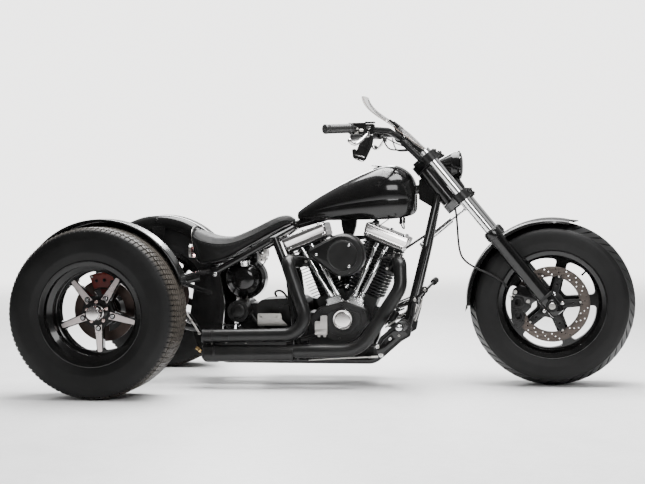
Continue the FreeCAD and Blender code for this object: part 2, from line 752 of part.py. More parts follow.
# ---- fuel tank -----------------------------------------------------------
tank_rows = (
    # x, top, shoulder height, bottom, half width at the shoulder, half width at the bottom
    (-164, 701, 686, 672, 30, 22),
    (-82, 761, 706, 667, 66, 52),
    (38, 829, 730, 667, 102, 84),
    (130, 870, 742, 668, 122, 100),
    (216, 889, 750, 670, 126, 102),
    (290, 862, 752, 680, 100, 78),
    (322, 806, 750, 708, 54, 40),
)
crown_share = 0.62
crease_share = 0.72


def tank_section(x, top, shoulder, bottom, half, base):
    """Flat floor, bulged flanks to the shoulder, and a crown between two soft creases."""
    crown = half * crown_share
    rise = shoulder + (top - shoulder) * crease_share
    flat_at = top - (top - shoulder) * 0.03

    def place(y, z):
        return V(x, y, z)

    def arc(start, middle, end):
        return Part.Arc(place(*start), place(*middle), place(*end)).toShape()

    shoulder_point = (half, shoulder)
    crown_point = (crown * 0.42, flat_at)
    flank = (half * 0.985, (bottom + shoulder) / 2)
    crease = (crown * 1.28, rise)
    return Part.Wire([
        Part.makeLine(place(-base, bottom), place(base, bottom)),
        arc((base, bottom), flank, shoulder_point),
        arc(shoulder_point, crease, crown_point),
        arc(crown_point, (0, top), (-crown_point[0], flat_at)),
        arc((-crown_point[0], flat_at), (-crease[0], rise), (-half, shoulder)),
        arc((-half, shoulder), (-flank[0], flank[1]), (-base, bottom)),
    ])


tank = Part.makeLoft([tank_section(*row) for row in tank_rows], True, False)
tunnel_half = backbone_radius + 3
spine_slope = (backbone_front.z - backbone_rear.z) / (backbone_front.x - backbone_rear.x)
tunnel_rise = backbone_radius * sqrt(1 + spine_slope ** 2)
tunnel_roof = [(x, backbone_rear.z + (x - backbone_rear.x) * spine_slope + tunnel_rise, 0) for x in (400,
                                                                                                     -200)]
tunnel = side_plate([(-200, 600, 0), (400, 600, 0), *tunnel_roof], -tunnel_half, tunnel_half)
save("fuel_tank", tank.cut(tunnel))

# ---- seat and tail lamp --------------------------------------------------
seat_rows = (
    # x, top, drop at the side, bottom, half width
    (-176, 674, 8, 661, 38),
    (-214, 690, 16, 643, 62),
    (-263, 673, 18, 616, 82),
    (-351, 630, 20, 567, 112),
    (-427, 601, 18, 525, 138),
    (-500, 600, 18, 500, 146),
    (-560, 621, 22, 500, 134),
    (-596, 640, 24, 560, 100),
)


def seat_section(x, top, drop, bottom, half):
    side_top = top - drop
    side_foot = side_top - (side_top - bottom) * 0.3
    inner = half * 0.62
    inner_top = top - drop * 0.3

    def place(y, z):
        return V(x, y, z)

    return Part.Wire([
        Part.makeLine(place(6 - half, bottom), place(half - 6, bottom)),
        Part.makeLine(place(half - 6, bottom), place(half, side_foot)),
        Part.Arc(place(half, side_foot), place(half * 0.9, side_top), place(inner, inner_top)).toShape(),
        Part.Arc(place(inner, inner_top), place(0, top), place(-inner, inner_top)).toShape(),
        Part.Arc(place(-inner, inner_top), place(-half * 0.9, side_top), place(-half, side_foot)).toShape(),
        Part.makeLine(place(-half, side_foot), place(6 - half, bottom)),
    ])


seat = Part.makeLoft([seat_section(*row) for row in seat_rows], True, True)
save("seat", seat.cut([spine, rear_section]))

lamp_centre_rear = V(-622, 0, 540)
lamp_shell = [(0, -34, 0), (26, -34, 4), (26, 0, 3), (20, 6, 2), (0, 8, 0)]
tail_lamp = turned([(r, -ahead, c) for r, ahead, c in lamp_shell], lamp_centre_rear)
save("tail_lamp", tail_lamp.cut(seat))

# ---- fork ----------------------------------------------------------------
lobe_radius = tube_radius + clamp_wall


def clamp(at):
    """A yoke: a lobe round each fork tube, and one round the stem."""
    low = at - clamp_height / 2
    lobes = [
        rod(lobe_radius, on_fork(low, 0, side * tube_spread),
            on_fork(low + clamp_height, 0, side * tube_spread))
        for side in (1, -1)
    ]
    lobes.append(rod(34, on_fork(low, -stem_offset), on_fork(low + clamp_height, -stem_offset)))
    corners = [(26, tube_spread, 0), (-22, tube_spread, 20), (-stem_offset - 28, 22, 20),
               (-stem_offset - 28, -22, 20),
               (-22, -tube_spread, 20), (26, -tube_spread, 0), (-8, -60, 20), (-8, 60, 20)]
    web = Part.Face(outline(corners, lambda out,
                            y: on_fork(low + 5, out, y))).extrude(fork_up * (clamp_height - 10))
    ears = []
    for side in (1, -1):
        ears.append(rod(8, on_fork(at, lobe_radius - 6, side * tube_spread - 16),
                        on_fork(at, lobe_radius - 6, side * tube_spread + 16)))
    holes = [
        rod(tube_radius, on_fork(low - 1, 0, side * tube_spread),
            on_fork(low + clamp_height + 1, 0, side * tube_spread))
        for side in (1, -1)
    ]
    return joined(lobes + [web] + ears).cut(holes)


upper = clamp(upper_clamp_at)
stem_top = upper_clamp_at + clamp_height / 2
stem_hole = rod(stem_radius, on_fork(0, -stem_offset), on_fork(stem_top + 40, -stem_offset))
save("upper_clamp", upper.cut(stem_hole))
eye_half = 7.0
damper_drop = 32.0
lower = joined([
    clamp(lower_clamp_at),
    rod(stem_radius, on_fork(lower_clamp_at - clamp_height / 2, -stem_offset),
        on_fork(stem_top, -stem_offset)),
    rod(22, on_fork(stem_top, -stem_offset), on_fork(stem_top + 12, -stem_offset)),
    rod(damper_pin, damper_eye + fork_up * (eye_half + 1), damper_eye + fork_up * damper_drop),
])
save("lower_clamp", lower)

fork_tubes = [
    rod(tube_radius, on_fork(slider_top - slider_overlap, 0, side * tube_spread),
        on_fork(tube_top, 0, side * tube_spread))
    for side in (1, -1)
]
save("fork_tubes", Part.makeCompound(fork_tubes))

slider_collar = 34.0
collar_length = 30.0
lug_corners = [(693, 250, 16), (693, 392, 16), (742, 410, 16), (812, 392, 0), (812, 330, 0), (740, 232, 16)]
sliders = []
for name, side in SIDES:
    leg = V(0, side * tube_spread, 0)
    pieces = [
        rod(slider_radius, on_fork(slider_foot) + leg, on_fork(slider_top) + leg),
        rod(slider_collar, on_fork(slider_top - collar_length) + leg, on_fork(slider_top) + leg),
    ]
    if side < 0:
        pieces.append(side_plate(lug_corners, -tube_spread + 22, -tube_spread + 33))
    bore = rod(tube_radius, on_fork(slider_top - slider_overlap) + leg, on_fork(slider_top + 1) + leg)
    axle_hole = rod(axle_radius, front_axle - V(0, 250, 0), front_axle + V(0, 250, 0))
    sliders.append(joined(pieces).cut([bore, axle_hole]))
save("fork_sliders", Part.makeCompound(sliders))

axle_end = tube_spread + slider_radius + 8
spacer_radius = 19.0
nut_radius = 20.0
axle_pieces = [rod(axle_radius, front_axle - V(0, axle_end, 0), front_axle + V(0, axle_end, 0))]
for side, hub_end in ((-1, front_disc_face), (1, front_hub_half)):
    axle_pieces.append(rod(nut_radius, front_axle + V(0, side * axle_end, 0),
                           front_axle + V(0, side * (axle_end - 8), 0)))
    axle_pieces.append(rod(spacer_radius, front_axle + V(0, side * (tube_spread - slider_radius), 0),
                           front_axle + V(0, side * (hub_end + bearing_gap), 0)))
front_axle_bore = rod(axle_bore, front_axle - V(0, 300, 0), front_axle + V(0, 300, 0))
save("front_axle", joined(axle_pieces).cut(front_axle_bore))

# ---- front brake caliper -------------------------------------------------
front_caliper_profile = [(97, 66, 4), (163, 72, 4), (163, 119, 0), (97, 119, 0)]
front_slot = ring(80, front_disc_radius + gap, front_hub_half - gap, front_disc_face + gap)
front_caliper = spun(front_caliper_profile, front_axle, -1, 160,
                     60).cut(spun(front_slot, front_axle, -1, 150, 80))
caliper_ribs = [spun(ring(104, 157, 100, 125), front_axle, -1, angle, 4) for angle in (168, 206)]
save("front_caliper", front_caliper.cut(caliper_ribs))

# ---- front fender --------------------------------------------------------
guard_radius = 342.0
guard_wall = 4.0
guard_half = 112.0
guard_depth = 20.0
guard_from = 78.0
guard_sweep = 103.0
guard_crown = [(guard_radius - 6, guard_half - 8, 12), (guard_radius, 40, 60), (guard_radius, -40, 60),
               (guard_radius - 6, 8 - guard_half, 12)]
outer = [(guard_radius - guard_depth, guard_half, 0), *guard_crown,
         (guard_radius - guard_depth, -guard_half, 0)]
inner = [(guard_radius - guard_depth - 6, guard_half - guard_wall, 0),
         *[(r - guard_wall, y * (1 - guard_wall / guard_half), c - 3) for r, y, c in guard_crown],
         (guard_radius - guard_depth - 6, guard_wall - guard_half, 0)]
guard = spun(outer, front_axle, 1, guard_from,
             guard_sweep).cut(spun(inner, front_axle, 1, guard_from - 4, guard_sweep + 8))
tips = []
for angle, length, half in ((guard_from, -36, 84), (guard_from + guard_sweep, 26, 84)):
    x, z = polar(guard_radius - 2, angle)
    out_x, out_z = polar(1, angle)
    run_x, run_z = -out_z, out_x
    corners = [
        (x - run_x * 2 * length / abs(length), z - run_z * 2 * length / abs(length), 0),
        (x + run_x * length + out_x * 4, z + run_z * length + out_z * 4, 0),
        (x - out_x * 14, z - out_z * 14, 0),
    ]
    wedge = side_plate(corners, -half, half)
    wedge.translate(front_axle)
    tips.append(wedge)
fender_tabs = []
for side in (1, -1):
    at = on_fork(guard_radius, 0, side * (tube_spread - slider_radius))
    fender_tabs.append(box(at.x - 18, at.x + 18, min(side * 100, at.y), max(side * 100, at.y), at.z - 16,
                           at.z + 10))
tyre_clear = spun(ring(0, tyre_radius + gap, -140, 140), front_axle)
guard = joined([guard, *[piece.cut(tyre_clear) for piece in fender_tabs + tips]]).cut(sliders)
save("front_fender", guard)

# ---- handlebar, grips and controls ---------------------------------------
bar_radius = 12.7
riser_radius = 15.0
grip_radius = 17.5
grip_inner = V(98, 326, 1027)
grip_outer = V(16, 404, 1022)
bar_bend = [(232, 196, 1020, 50), (262, 92, 996, 50)]
bar_rows = [tuple(grip_outer) + (0,), tuple(grip_inner) + (50,), *bar_bend]
bar = bent_tube(bar_radius, bar_rows + [(x, -y, z, bend) for x, y, z, bend in reversed(bar_rows)])
bar_pieces = [bar]
screen_plate = [(221, 1065, 1), (259, 1036, 1), (264.5, 1042, 1), (226.5, 1071.5, 1)]
for side in (1, -1):
    foot = on_fork(stem_top - 5, -34, side * 62)
    top = V(262, side * 62, 996)
    bar_pieces.append(rod(riser_radius, foot, top))
    bar_pieces.append(side_plate([(262, 988, 0), (276, 1008, 4), (360, 944, 4), (352, 906, 0)],
                                 side * 62 - 5, side * 62 + 5))
    bar_pieces.append(rod(riser_radius + 5, top - V(0, 14, 0), top + V(0, 14, 0)))
    bar_pieces.append(rod(7, V(262, side * 80, 996), V(243, side * 80, 1054)))
    bar_pieces.append(side_plate(screen_plate, side * 80 - 13, side * 80 + 13))
handlebar = joined(bar_pieces).cut(upper)

screen_rows = (
    # height, x at the edge, bulge ahead of the middle, half width
    (946, 366, 12, 96),
    (984, 314, 18, 122),
    (1058, 218, 24, 130),
    (1096, 162, 22, 128),
    (1131, 130, 16, 120),
    (1166, 118, 10, 96),
)
screen_thickness = 4.5


def screen_section(z, x, bulge, half):
    inner = x - screen_thickness
    return Part.Wire([
        Part.Arc(V(x, -half, z), V(x + bulge, 0, z), V(x, half, z)).toShape(),
        Part.makeLine(V(x, half, z), V(inner, half, z)),
        Part.Arc(V(inner, half, z), V(inner + bulge, 0, z), V(inner, -half, z)).toShape(),
        Part.makeLine(V(inner, -half, z), V(x, -half, z)),
    ])


screen = Part.makeLoft([screen_section(*row) for row in screen_rows], True, False)
save("windshield", screen.cut([handlebar, upper]))
save("handlebar", handlebar)
grips = []
for side in (1, -1):
    inner_end = V(grip_inner.x, side * grip_inner.y, grip_inner.z)
    outer_end = V(grip_outer.x, side * grip_outer.y, grip_outer.z)
    along = ray(inner_end, outer_end)
    sleeve = joined([
        rod(grip_radius, inner_end, outer_end + along * 3),
        rod(grip_radius + 2.5, inner_end, inner_end + along * 7),
    ])
    grips.append(sleeve.cut(rod(bar_radius, inner_end - along * 10, outer_end)))
save("hand_grips", Part.makeCompound(grips))

right_block = side_plate([(150, 1044, 6), (188, 1044, 6), (182, 1004, 6), (140, 896, 8), (104, 910, 8),
                          (142, 1000, 6)], -300, -268)
right_switch = box(92, 154, -318, -285, 1004, 1048)
left_perch = joined([
    rod(20, V(112, 312, 1026), V(146, 279, 1024)),
    rod(9, V(140, 284, 1010), V(140, 284, 1040)),
])
save("bar_controls", Part.makeCompound([joined([right_block, right_switch]).cut(bar), left_perch.cut(bar)]))

# ---- headlight -----------------------------------------------------------
lamp_centre = V(500, 0, 883)
shell_profile = [(0, -88, 0), (26, -84, 10), (55, -30, 20), (57, -8, 0), (60, -8, 0), (60, 0, 0), (0, 0, 0)]
lamp_bracket = side_plate([(470, 838, 0), (494, 836, 0), (518, 800, 8), (516, 772, 8), (492, 756, 0),
                           (480, 772, 0), (496, 800, 8)], -22, 22)
save("headlight", joined([turned(shell_profile, lamp_centre), lamp_bracket]).cut(lower))
lens_profile = [(0, 0, 0), (54, 0, 0), (52, 5, 2), (30, 11, 20), (0, 13, 0)]
save("headlight_lens", turned(lens_profile, lamp_centre))

# ---- steering damper -----------------------------------------------------
damper_line = ray(damper_foot, damper_eye)
barrel_end = 160.0
barrel_outer = 13.0
rod_radius = 5.0
damper_body = joined([
    rod(barrel_outer, damper_foot + damper_line * 9, damper_foot + damper_line * barrel_end),
    rod(11, damper_foot - fork_up * eye_half, damper_foot + fork_up * eye_half),
])
save("damper_body", damper_body.cut([
    rod(rod_radius + pin_gap, damper_foot + damper_line * 24, damper_foot + damper_line * (barrel_end + 5)),
    rod(damper_pin + pin_gap, damper_foot - fork_up * 30, damper_foot + fork_up * 30),
]))
save("damper_rod", joined([
    rod(rod_radius, damper_foot + damper_line * 84, damper_eye - damper_line * 8),
    rod(10, damper_eye - fork_up * eye_half, damper_eye + fork_up * eye_half),
]))

# ---- forward controls ----------------------------------------------------
peg_radius = 18.0
peg_length = 196.0
peg_tilt = 3.0
bracket_corners = [
    (160, 119, 8), (199, 119, 10), (272, 183, 14), (306, 203, 12), (314, 238, 14), (296, 264, 14),
    (246, 250, 20),
    (186, 200, 16), (160, 150, 10),
]
shoulder_radius = 24.0
shoulder_from = 5.0
shoulder_to = 16.0
bracket_from = cradle_spread + cradle_radius
controls = []
for name, side in SIDES:
    peg_root = V(281, side * (cradle_spread + 14), 246)
    peg_axis = V(0, side * cos(radians(peg_tilt)), sin(radians(peg_tilt)))
    controls.append(joined([
        side_plate(bracket_corners, side * bracket_from, side * (bracket_from + 10)),
        rod(peg_radius, peg_root, peg_root + peg_axis * peg_length),
        rod(shoulder_radius, peg_root + peg_axis * shoulder_from, peg_root + peg_axis * shoulder_to),
        bent_tube(6, [(300, side * 150, 222, 0), (320, side * 158, 292, 20), (329, side * 168, 350, 20),
                      (372, side * 226, 394, 0)]),
        rod(12, V(372, side * 222, 394), V(378, side * 300, 400)),
        rod(14, V(329, side * 156, 352), V(329, side * 182, 352)),
        rod(9, V(300, side * 130, 222), V(300, side * 160, 222)),
    ]).cut(cradle_node))
save("forward_controls", Part.makeCompound(controls))

# ---- brake hose ----------------------------------------------------------
hose_radius = 4.0
hose_points = [
    (483, -60, 716), (489, -68, 678), (493, -79, 636), (496, -91, 592), (501, -102, 549), (512, -112, 516),
    (536, -120, 493), (572, -125, 472), (612, -127, 455), (650, -127, 436), (680, -126, 414),
    (691, -126, 396),
]
save("brake_hose", cord(hose_radius, hose_points).cut([lower, *sliders]))
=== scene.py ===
import json
from math import asin, atan2, cos, degrees, pi, radians, sin

import bmesh
import bpy
from mathutils import Matrix, Vector


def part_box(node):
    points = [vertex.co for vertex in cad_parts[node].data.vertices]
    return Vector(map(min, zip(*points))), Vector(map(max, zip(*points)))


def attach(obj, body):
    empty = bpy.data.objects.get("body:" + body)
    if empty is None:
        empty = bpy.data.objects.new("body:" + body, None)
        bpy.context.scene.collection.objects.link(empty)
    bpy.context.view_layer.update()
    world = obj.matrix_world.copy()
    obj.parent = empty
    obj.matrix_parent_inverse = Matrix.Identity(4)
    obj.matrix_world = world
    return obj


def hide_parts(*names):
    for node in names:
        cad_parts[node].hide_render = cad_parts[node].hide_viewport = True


# Motorized trike: the looks built round its CAD frame.
# Sizes below are millimetres; a mesh is brought to metres when it becomes a piece.

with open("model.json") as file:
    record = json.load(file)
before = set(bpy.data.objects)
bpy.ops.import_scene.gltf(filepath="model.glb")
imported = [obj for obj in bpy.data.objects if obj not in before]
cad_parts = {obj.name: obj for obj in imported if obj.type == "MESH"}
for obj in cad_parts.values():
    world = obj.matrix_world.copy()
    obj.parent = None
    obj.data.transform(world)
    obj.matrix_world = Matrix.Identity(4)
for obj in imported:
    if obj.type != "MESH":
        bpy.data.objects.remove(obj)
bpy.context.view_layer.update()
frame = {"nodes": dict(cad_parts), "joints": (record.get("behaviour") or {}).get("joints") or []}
nodes = frame["nodes"]
MM = 0.001
ACROSS = Vector((0, 1, 0))
AHEAD = Vector((1, 0, 0))
UP = Vector((0, 0, 1))
RIGHT = (0, -1, 0)
SIDES = (("left", 1), ("right", -1))


# ---- places taken from the frame ----------------------------------------
def low(node):
    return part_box(node)[0] / MM


def high(node):
    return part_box(node)[1] / MM


def middle(node):
    return (low(node) + high(node)) / 2


steer = next(joint for joint in frame["joints"] if joint["child"] == "fork")
fork_up = Vector(steer["axis"]).normalized()
if fork_up.z < 0:
    fork_up = -fork_up
fork_out = ACROSS.cross(fork_up).normalized()
front_axle = middle("front_tyre")
front_axle.y = 0
rear_axle = middle("rear_tyre_right")
rear_half_track = abs(rear_axle.y)
rear_axle.y = 0
tyre_radius = (high("front_tyre") - low("front_tyre")).z / 2
tube_radius = 20.5
tube_spread = high("fork_tubes").y - tube_radius
crank_x, crank_over_sump = 41, 80
crank = Vector((crank_x, 0, low("crankcase").z + crank_over_sump))
bank_angle = radians(22)


def on_fork(along, out=0.0, side=0.0):
    """A point by its height up the fork from the axle, ahead of the tubes, and to the left."""
    return front_axle + fork_up * along + fork_out * out + Vector((0, side, 0))


def on_bank(lean, along, across, y=0.0):
    """A point by its height up a cylinder from the crank, and across it; lean is -1 rear, 1 front."""
    turn = bank_angle * lean
    up = Vector((sin(turn), 0, cos(turn)))
    over = Vector((cos(turn), 0, -sin(turn)))
    return crank + up * along + over * across + Vector((0, y, 0))


def rear_centre(side):
    """The middle of a rear wheel; side is 1 left, -1 right."""
    return rear_axle + Vector((0, side * rear_half_track, 0))


def polar(radius, angle):
    """x and z of a point at an angle in degrees above straight ahead."""
    return radius * cos(radians(angle)), radius * sin(radians(angle))


# ---- making pieces -------------------------------------------------------
def put(name, data):
    """An object in the scene that holds a mesh, a curve, a light or a camera."""
    made = bpy.data.objects.new(name, data)
    bpy.context.scene.collection.objects.link(made)
    return made


def baked(holder):
    """The plain mesh that an object's curve or modifiers make."""
    bpy.context.view_layer.update()
    return bpy.data.meshes.new_from_object(holder.evaluated_get(bpy.context.evaluated_depsgraph_get()))


def set_up(name, mesh, finish, body="chassis", slot=None, stands_for=(), smooth=32):
    """Makes an object of a mesh in metres, hangs it from its body's empty, and hides the CAD parts it
    stands for.
    """
    made = put(name, mesh)
    if not mesh.materials:
        mesh.materials.append(finish)
    mesh.shade_smooth()
    mesh.set_sharp_from_angle(angle=radians(smooth))
    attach(made, body)
    if stands_for:
        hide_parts(*stands_for)
    return made


def to_mesh(name, work, turn_out=True):
    """Closes a bmesh in millimetres into a mesh in metres, its faces outwards."""
    bmesh.ops.remove_doubles(work, verts=work.verts, dist=0.01)
    if turn_out:
        bmesh.ops.recalc_face_normals(work, faces=work.faces)
    work.transform(Matrix.Scale(MM, 4))
    mesh = bpy.data.meshes.new(name)
    work.to_mesh(mesh)
    work.free()
    return mesh


def piece(name, work, finish, body="chassis", **more):
    """Makes a piece of a bmesh in millimetres."""
    return set_up(name, to_mesh(name, work), finish, body, **more)


def join_rings(work, rings, tints=None):
    """Faces between neighbouring closed rings of points; tints are the finishes of the bands."""
    for band, (first, second) in enumerate(zip(rings, rings[1:])):
        for index in range(len(first)):
            after = (index + 1) % len(first)
            face = work.faces.new((first[index], first[after], second[after], second[index]))
            if tints:
                face.material_index = tints[band]


def facing(centre, direction, twist=0.0):
    """The placing that turns local Z to a direction, about a centre."""
    turn = Vector(direction).normalized().to_track_quat("Z", "Y").to_matrix().to_4x4()
    return Matrix.Translation(centre) @ turn @ Matrix.Rotation(twist, 4, "Z")


def add_lathe(work, profile, place, steps=48, finish=0, closed=False):
    """Turns rows of radius and height about the placing's Z into a bmesh."""
    rings = []
    for radius, height in profile:
        turns = [2 * pi * step / steps for step in range(steps)] if radius > 1e-6 else [0.0]
        rings.append([work.verts.new(place @ Vector((radius * cos(turn), radius * sin(turn), height)))
                      for turn in turns])
    pairs = list(zip(rings, rings[1:])) + ([(rings[-1], rings[0])] if closed else [])
    for first, second in pairs:
        for step in range(steps):
            after = (step + 1) % steps
            corners = [first[step % len(first)], first[after % len(first)], second[after % len(second)],
                       second[step % len(second)]]
            corners = list(dict.fromkeys(corners))
            if len(corners) > 2:
                work.faces.new(corners).material_index = finish


def add_rod(work, start, end, radius, steps=20, edge=1.0):
    """A round bar with softened ends."""
    start, end = Vector(start), Vector(end)
    long = (end - start).length
    edge = min(edge, radius / 2, long / 2)
    profile = [(0, 0), (radius - edge, 0), (radius, edge), (radius, long - edge), (radius - edge, long),
               (0, long)]
    add_lathe(work, profile, facing(start, end - start), steps)


def rods(name, rows, finish, body="chassis"):
    """A piece of round bars; rows are start, end, radius, and the steps and edge of add_rod."""
    work = bmesh.new()
    for row in rows:
        add_rod(work, *row)
    return piece(name, work, finish, body)


def turned(name, profile, place, steps, finish, body="chassis", closed=False, **more):
    """A piece that is one turned profile."""
    work = bmesh.new()
    add_lathe(work, profile, place, steps, closed=closed)
    return piece(name, work, finish, body, **more)


def add_box(work, low_corner, high_corner, edge=1.0, place=Matrix()):
    """A block with softened edges."""
    low_corner, high_corner = Vector(low_corner), Vector(high_corner)
    block = bmesh.ops.create_cube(work, size=1.0)["verts"]
    size = high_corner - low_corner
    centre = (high_corner + low_corner) / 2
    for vert in block:
        vert.co = Vector(vert.co[i] * size[i] + centre[i] for i in range(3))
    edges = list({line for vert in block for line in vert.link_edges})
    softened = bmesh.ops.bevel(work, geom=edges, offset=edge, segments=2, profile=0.5, affect="EDGES")
    verts = {vert for face in softened["faces"] for vert in face.verts}
    verts |= {vert for vert in block if vert.is_valid}
    bmesh.ops.transform(work, matrix=place, verts=list(verts))


def rounded(corners):
    """A polyline through rows of a, b and corner radius, its corners rounded."""
    points = []
    for index, (a, b, radius) in enumerate(corners):
        here = Vector((a, b))
        if radius <= 0:
            points.append(here)
            continue
        came = (here - Vector(corners[index - 1][:2])).normalized()
        goes = (Vector(corners[(index + 1) % len(corners)][:2]) - here).normalized()
        half = came.angle(goes) / 2
        cut = radius * sin(half) / cos(half)
        start, end = here - came * cut, here + goes * cut
        steps = max(2, round(degrees(half) / 9))
        centre = here + (goes - came).normalized() * (radius / cos(half))
        first, last = start - centre, end - centre
        for step in range(steps + 1):
            points.append(centre + first.lerp(last, step / steps).normalized() * radius)
    return points


def curve_mesh(name, curve):
    """The plain mesh of a curve, which is used up."""
    carrier = put(name, curve)
    mesh = baked(carrier)
    bpy.data.objects.remove(carrier)
    bpy.data.curves.remove(curve)
    return mesh


def flat_curve(name, outlines, thick, edge):
    """A plate in local XY with rounded edges; the first outline is its rim, the rest its openings."""
    curve = bpy.data.curves.new(name, "CURVE")
    curve.dimensions = "2D"
    curve.fill_mode = "BOTH"
    curve.extrude = max(thick / 2 - edge, 0.0)
    curve.bevel_depth = edge
    curve.bevel_resolution = 1
    curve.offset = -edge
    for outline in outlines:
        spline = curve.splines.new("POLY")
        spline.points.add(len(outline) - 1)
        for point, at in zip(spline.points, outline):
            point.co = (at[0], at[1], 0, 1)
        spline.use_cyclic_u = True
    return curve_mesh(name, curve)


def add_plate(work, outlines, thick, place, edge=0.6):
    """Adds a plate, its mid-plane the placing's XY."""
    mesh = flat_curve("plate", outlines, thick, edge)
    mesh.transform(place)
    work.from_mesh(mesh)
    bpy.data.meshes.remove(mesh)


def circle(a, b, radius, steps=24):
    return [(a + radius * cos(2 * pi * step / steps), b + radius * sin(2 * pi * step / steps))
            for step in range(steps)]


def side_view(y):
    """The placing that sets a plate's XY to the trike's X and Z, its face towards the right."""
    return Matrix.Translation((0, y, 0)) @ Matrix.Rotation(pi / 2, 4, "X")


def cable(name, points, radius, finish, body="chassis", steps=5):
    """A cable or thin pipe, smooth through given control points."""
    curve = bpy.data.curves.new(name, "CURVE")
    curve.dimensions = "3D"
    curve.bevel_depth = radius
    curve.bevel_resolution = steps
    curve.resolution_u = 8
    curve.use_fill_caps = True
    spline = curve.splines.new("NURBS")
    spline.points.add(len(points) - 1)
    for point, at in zip(spline.points, points):
        point.co = (*at, 1)
    spline.order_u = 3
    spline.use_endpoint_u = True
    mesh = curve_mesh(name, curve)
    mesh.transform(Matrix.Scale(MM, 4))
    return set_up(name, mesh, finish, body)


# ---- shader groups that several finishes share ---------------------------
def add(tree, kind, feeds=(), **settings):
    """A node with its settings, each input fed by a socket or set to a value."""
    node = tree.nodes.new(kind)
    for key, value in settings.items():
        setattr(node, key, value)
    for key, value in dict(feeds).items():
        if isinstance(value, bpy.types.NodeSocket):
            tree.links.new(value, node.inputs[key])
        else:
            node.inputs[key].default_value = value
    return node


def sums(tree, operation, first, second=0.0):
    return add(tree, "ShaderNodeMath", {0: first, 1: second}, operation=operation).outputs[0]


def ramp(tree, value, start, end, to_start=0.0, to_end=1.0):
    """A value brought from one span to another, eased at both ends."""
    feeds = {"Value": value, "From Min": start, "From Max": end, "To Min": to_start, "To Max": to_end}
    return add(tree, "ShaderNodeMapRange", feeds, interpolation_type="SMOOTHSTEP").outputs[0]


def mix_colour(tree, share, first, second):
    return add(tree, "ShaderNodeMix", {0: share, 6: first, 7: second}, data_type="RGBA").outputs[2]


def object_place(tree):
    return add(tree, "ShaderNodeTexCoord").outputs["Object"]


def noise(tree, place, scale, detail=3.0, rough=0.55):
    feeds = {"Vector": place, "Scale": scale, "Detail": detail, "Roughness": rough}
    return add(tree, "ShaderNodeTexNoise", feeds).outputs[0]


def shader_group(name, wants, gives, build):
    """A node group; wants are rows of label, kind and value, gives rows of label and kind."""
    tree = bpy.data.node_groups.new(name, "ShaderNodeTree")
    for label, kind, value in wants:
        socket = tree.interface.new_socket(label, in_out="INPUT", socket_type="NodeSocket" + kind)
        socket.default_value = value
    for label, kind in gives:
        tree.interface.new_socket(label, in_out="OUTPUT", socket_type="NodeSocket" + kind)
    build(tree, tree.nodes.new("NodeGroupInput").outputs, tree.nodes.new("NodeGroupOutput").inputs)
    return tree


def build_soft_edges(tree, wants, gives):
    soft = add(tree, "ShaderNodeBevel", {"Radius": wants["Radius"]}, samples=4).outputs[0]
    flat = add(tree, "ShaderNodeNewGeometry").outputs["Normal"]
    along = add(tree, "ShaderNodeVectorMath", {0: soft, 1: flat}, operation="DOT_PRODUCT").outputs["Value"]
    tree.links.new(soft, gives["Normal"])
    tree.links.new(ramp(tree, along, 0.995, 0.86), gives["Edge"])


def build_surface_marks(tree, wants, gives):
    place = object_place(tree)
    cloudy = noise(tree, place, 9.0, 4.0)
    fine = noise(tree, place, wants["Scale"], 3.0)
    long_way = add(tree, "ShaderNodeMapping",
                   {"Vector": place, "Scale": (1.0, 0.12, 1.0), "Rotation": (0.3, 0.5, 0.7)})
    scratch = noise(tree, long_way.outputs[0], 620.0, 2.0)
    tree.links.new(cloudy, gives["Cloudy"])
    tree.links.new(fine, gives["Fine"])
    tree.links.new(ramp(tree, scratch, 0.62, 0.78), gives["Scratches"])


def build_dust(tree, wants, gives):
    place = object_place(tree)
    height = add(tree, "ShaderNodeSeparateXYZ", {0: place}).outputs[2]
    normal = add(tree, "ShaderNodeNewGeometry").outputs["Normal"]
    upward = add(tree, "ShaderNodeSeparateXYZ", {0: normal}).outputs[2]
    lying = ramp(tree, upward, 0.2, 1.0, 0.25, 1.0)
    low_down = ramp(tree, height, 0.05, wants["Reach"], 1.0, 0.25)
    patchy = ramp(tree, noise(tree, place, 26.0, 5.0, 0.65), 0.35, 0.75)
    share = sums(tree, "MULTIPLY", sums(tree, "MULTIPLY", lying, low_down),
                 sums(tree, "MULTIPLY", patchy, wants["Amount"]))
    tree.links.new(share, gives["Dust"])


def build_about_axle(tree, wants, gives):
    feeds = {0: object_place(tree), 1: wants["Axle"]}
    offset = add(tree, "ShaderNodeVectorMath", feeds, operation="SUBTRACT").outputs[0]
    parts = add(tree, "ShaderNodeSeparateXYZ", {0: offset})
    square = sums(tree, "ADD", sums(tree, "POWER", parts.outputs[0], 2.0),
                  sums(tree, "POWER", parts.outputs[2], 2.0))
    radius = sums(tree, "SQRT", square)
    angle = sums(tree, "ARCTAN2", parts.outputs[2], parts.outputs[0])
    tree.links.new(radius, gives["Radius"])
    tree.links.new(angle, gives["Angle"])
    tree.links.new(sums(tree, "ABSOLUTE", parts.outputs[1]), gives["Across"])


soft_edges = shader_group("soft_edges", [("Radius", "Float", 0.001)],
                          [("Normal", "Vector"), ("Edge", "Float")], build_soft_edges)
surface_marks = shader_group("surface_marks", [("Scale", "Float", 300.0)],
                             [("Cloudy", "Float"), ("Fine", "Float"), ("Scratches", "Float")],
                             build_surface_marks)
settled_dust = shader_group("settled_dust", [("Amount", "Float", 0.2), ("Reach", "Float", 0.6)],
                            [("Dust", "Float")], build_dust)
about_axle = shader_group("about_axle", [("Axle", "Vector", (0.0, 0.0, 0.0))],
                          [("Radius", "Float"), ("Angle", "Float"), ("Across", "Float")], build_about_axle)


def put_group(tree, which, feeds=()):
    node = tree.nodes.new("ShaderNodeGroup")
    node.node_tree = which
    for key, value in dict(feeds).items():
        node.inputs[key].default_value = value
    return node.outputs


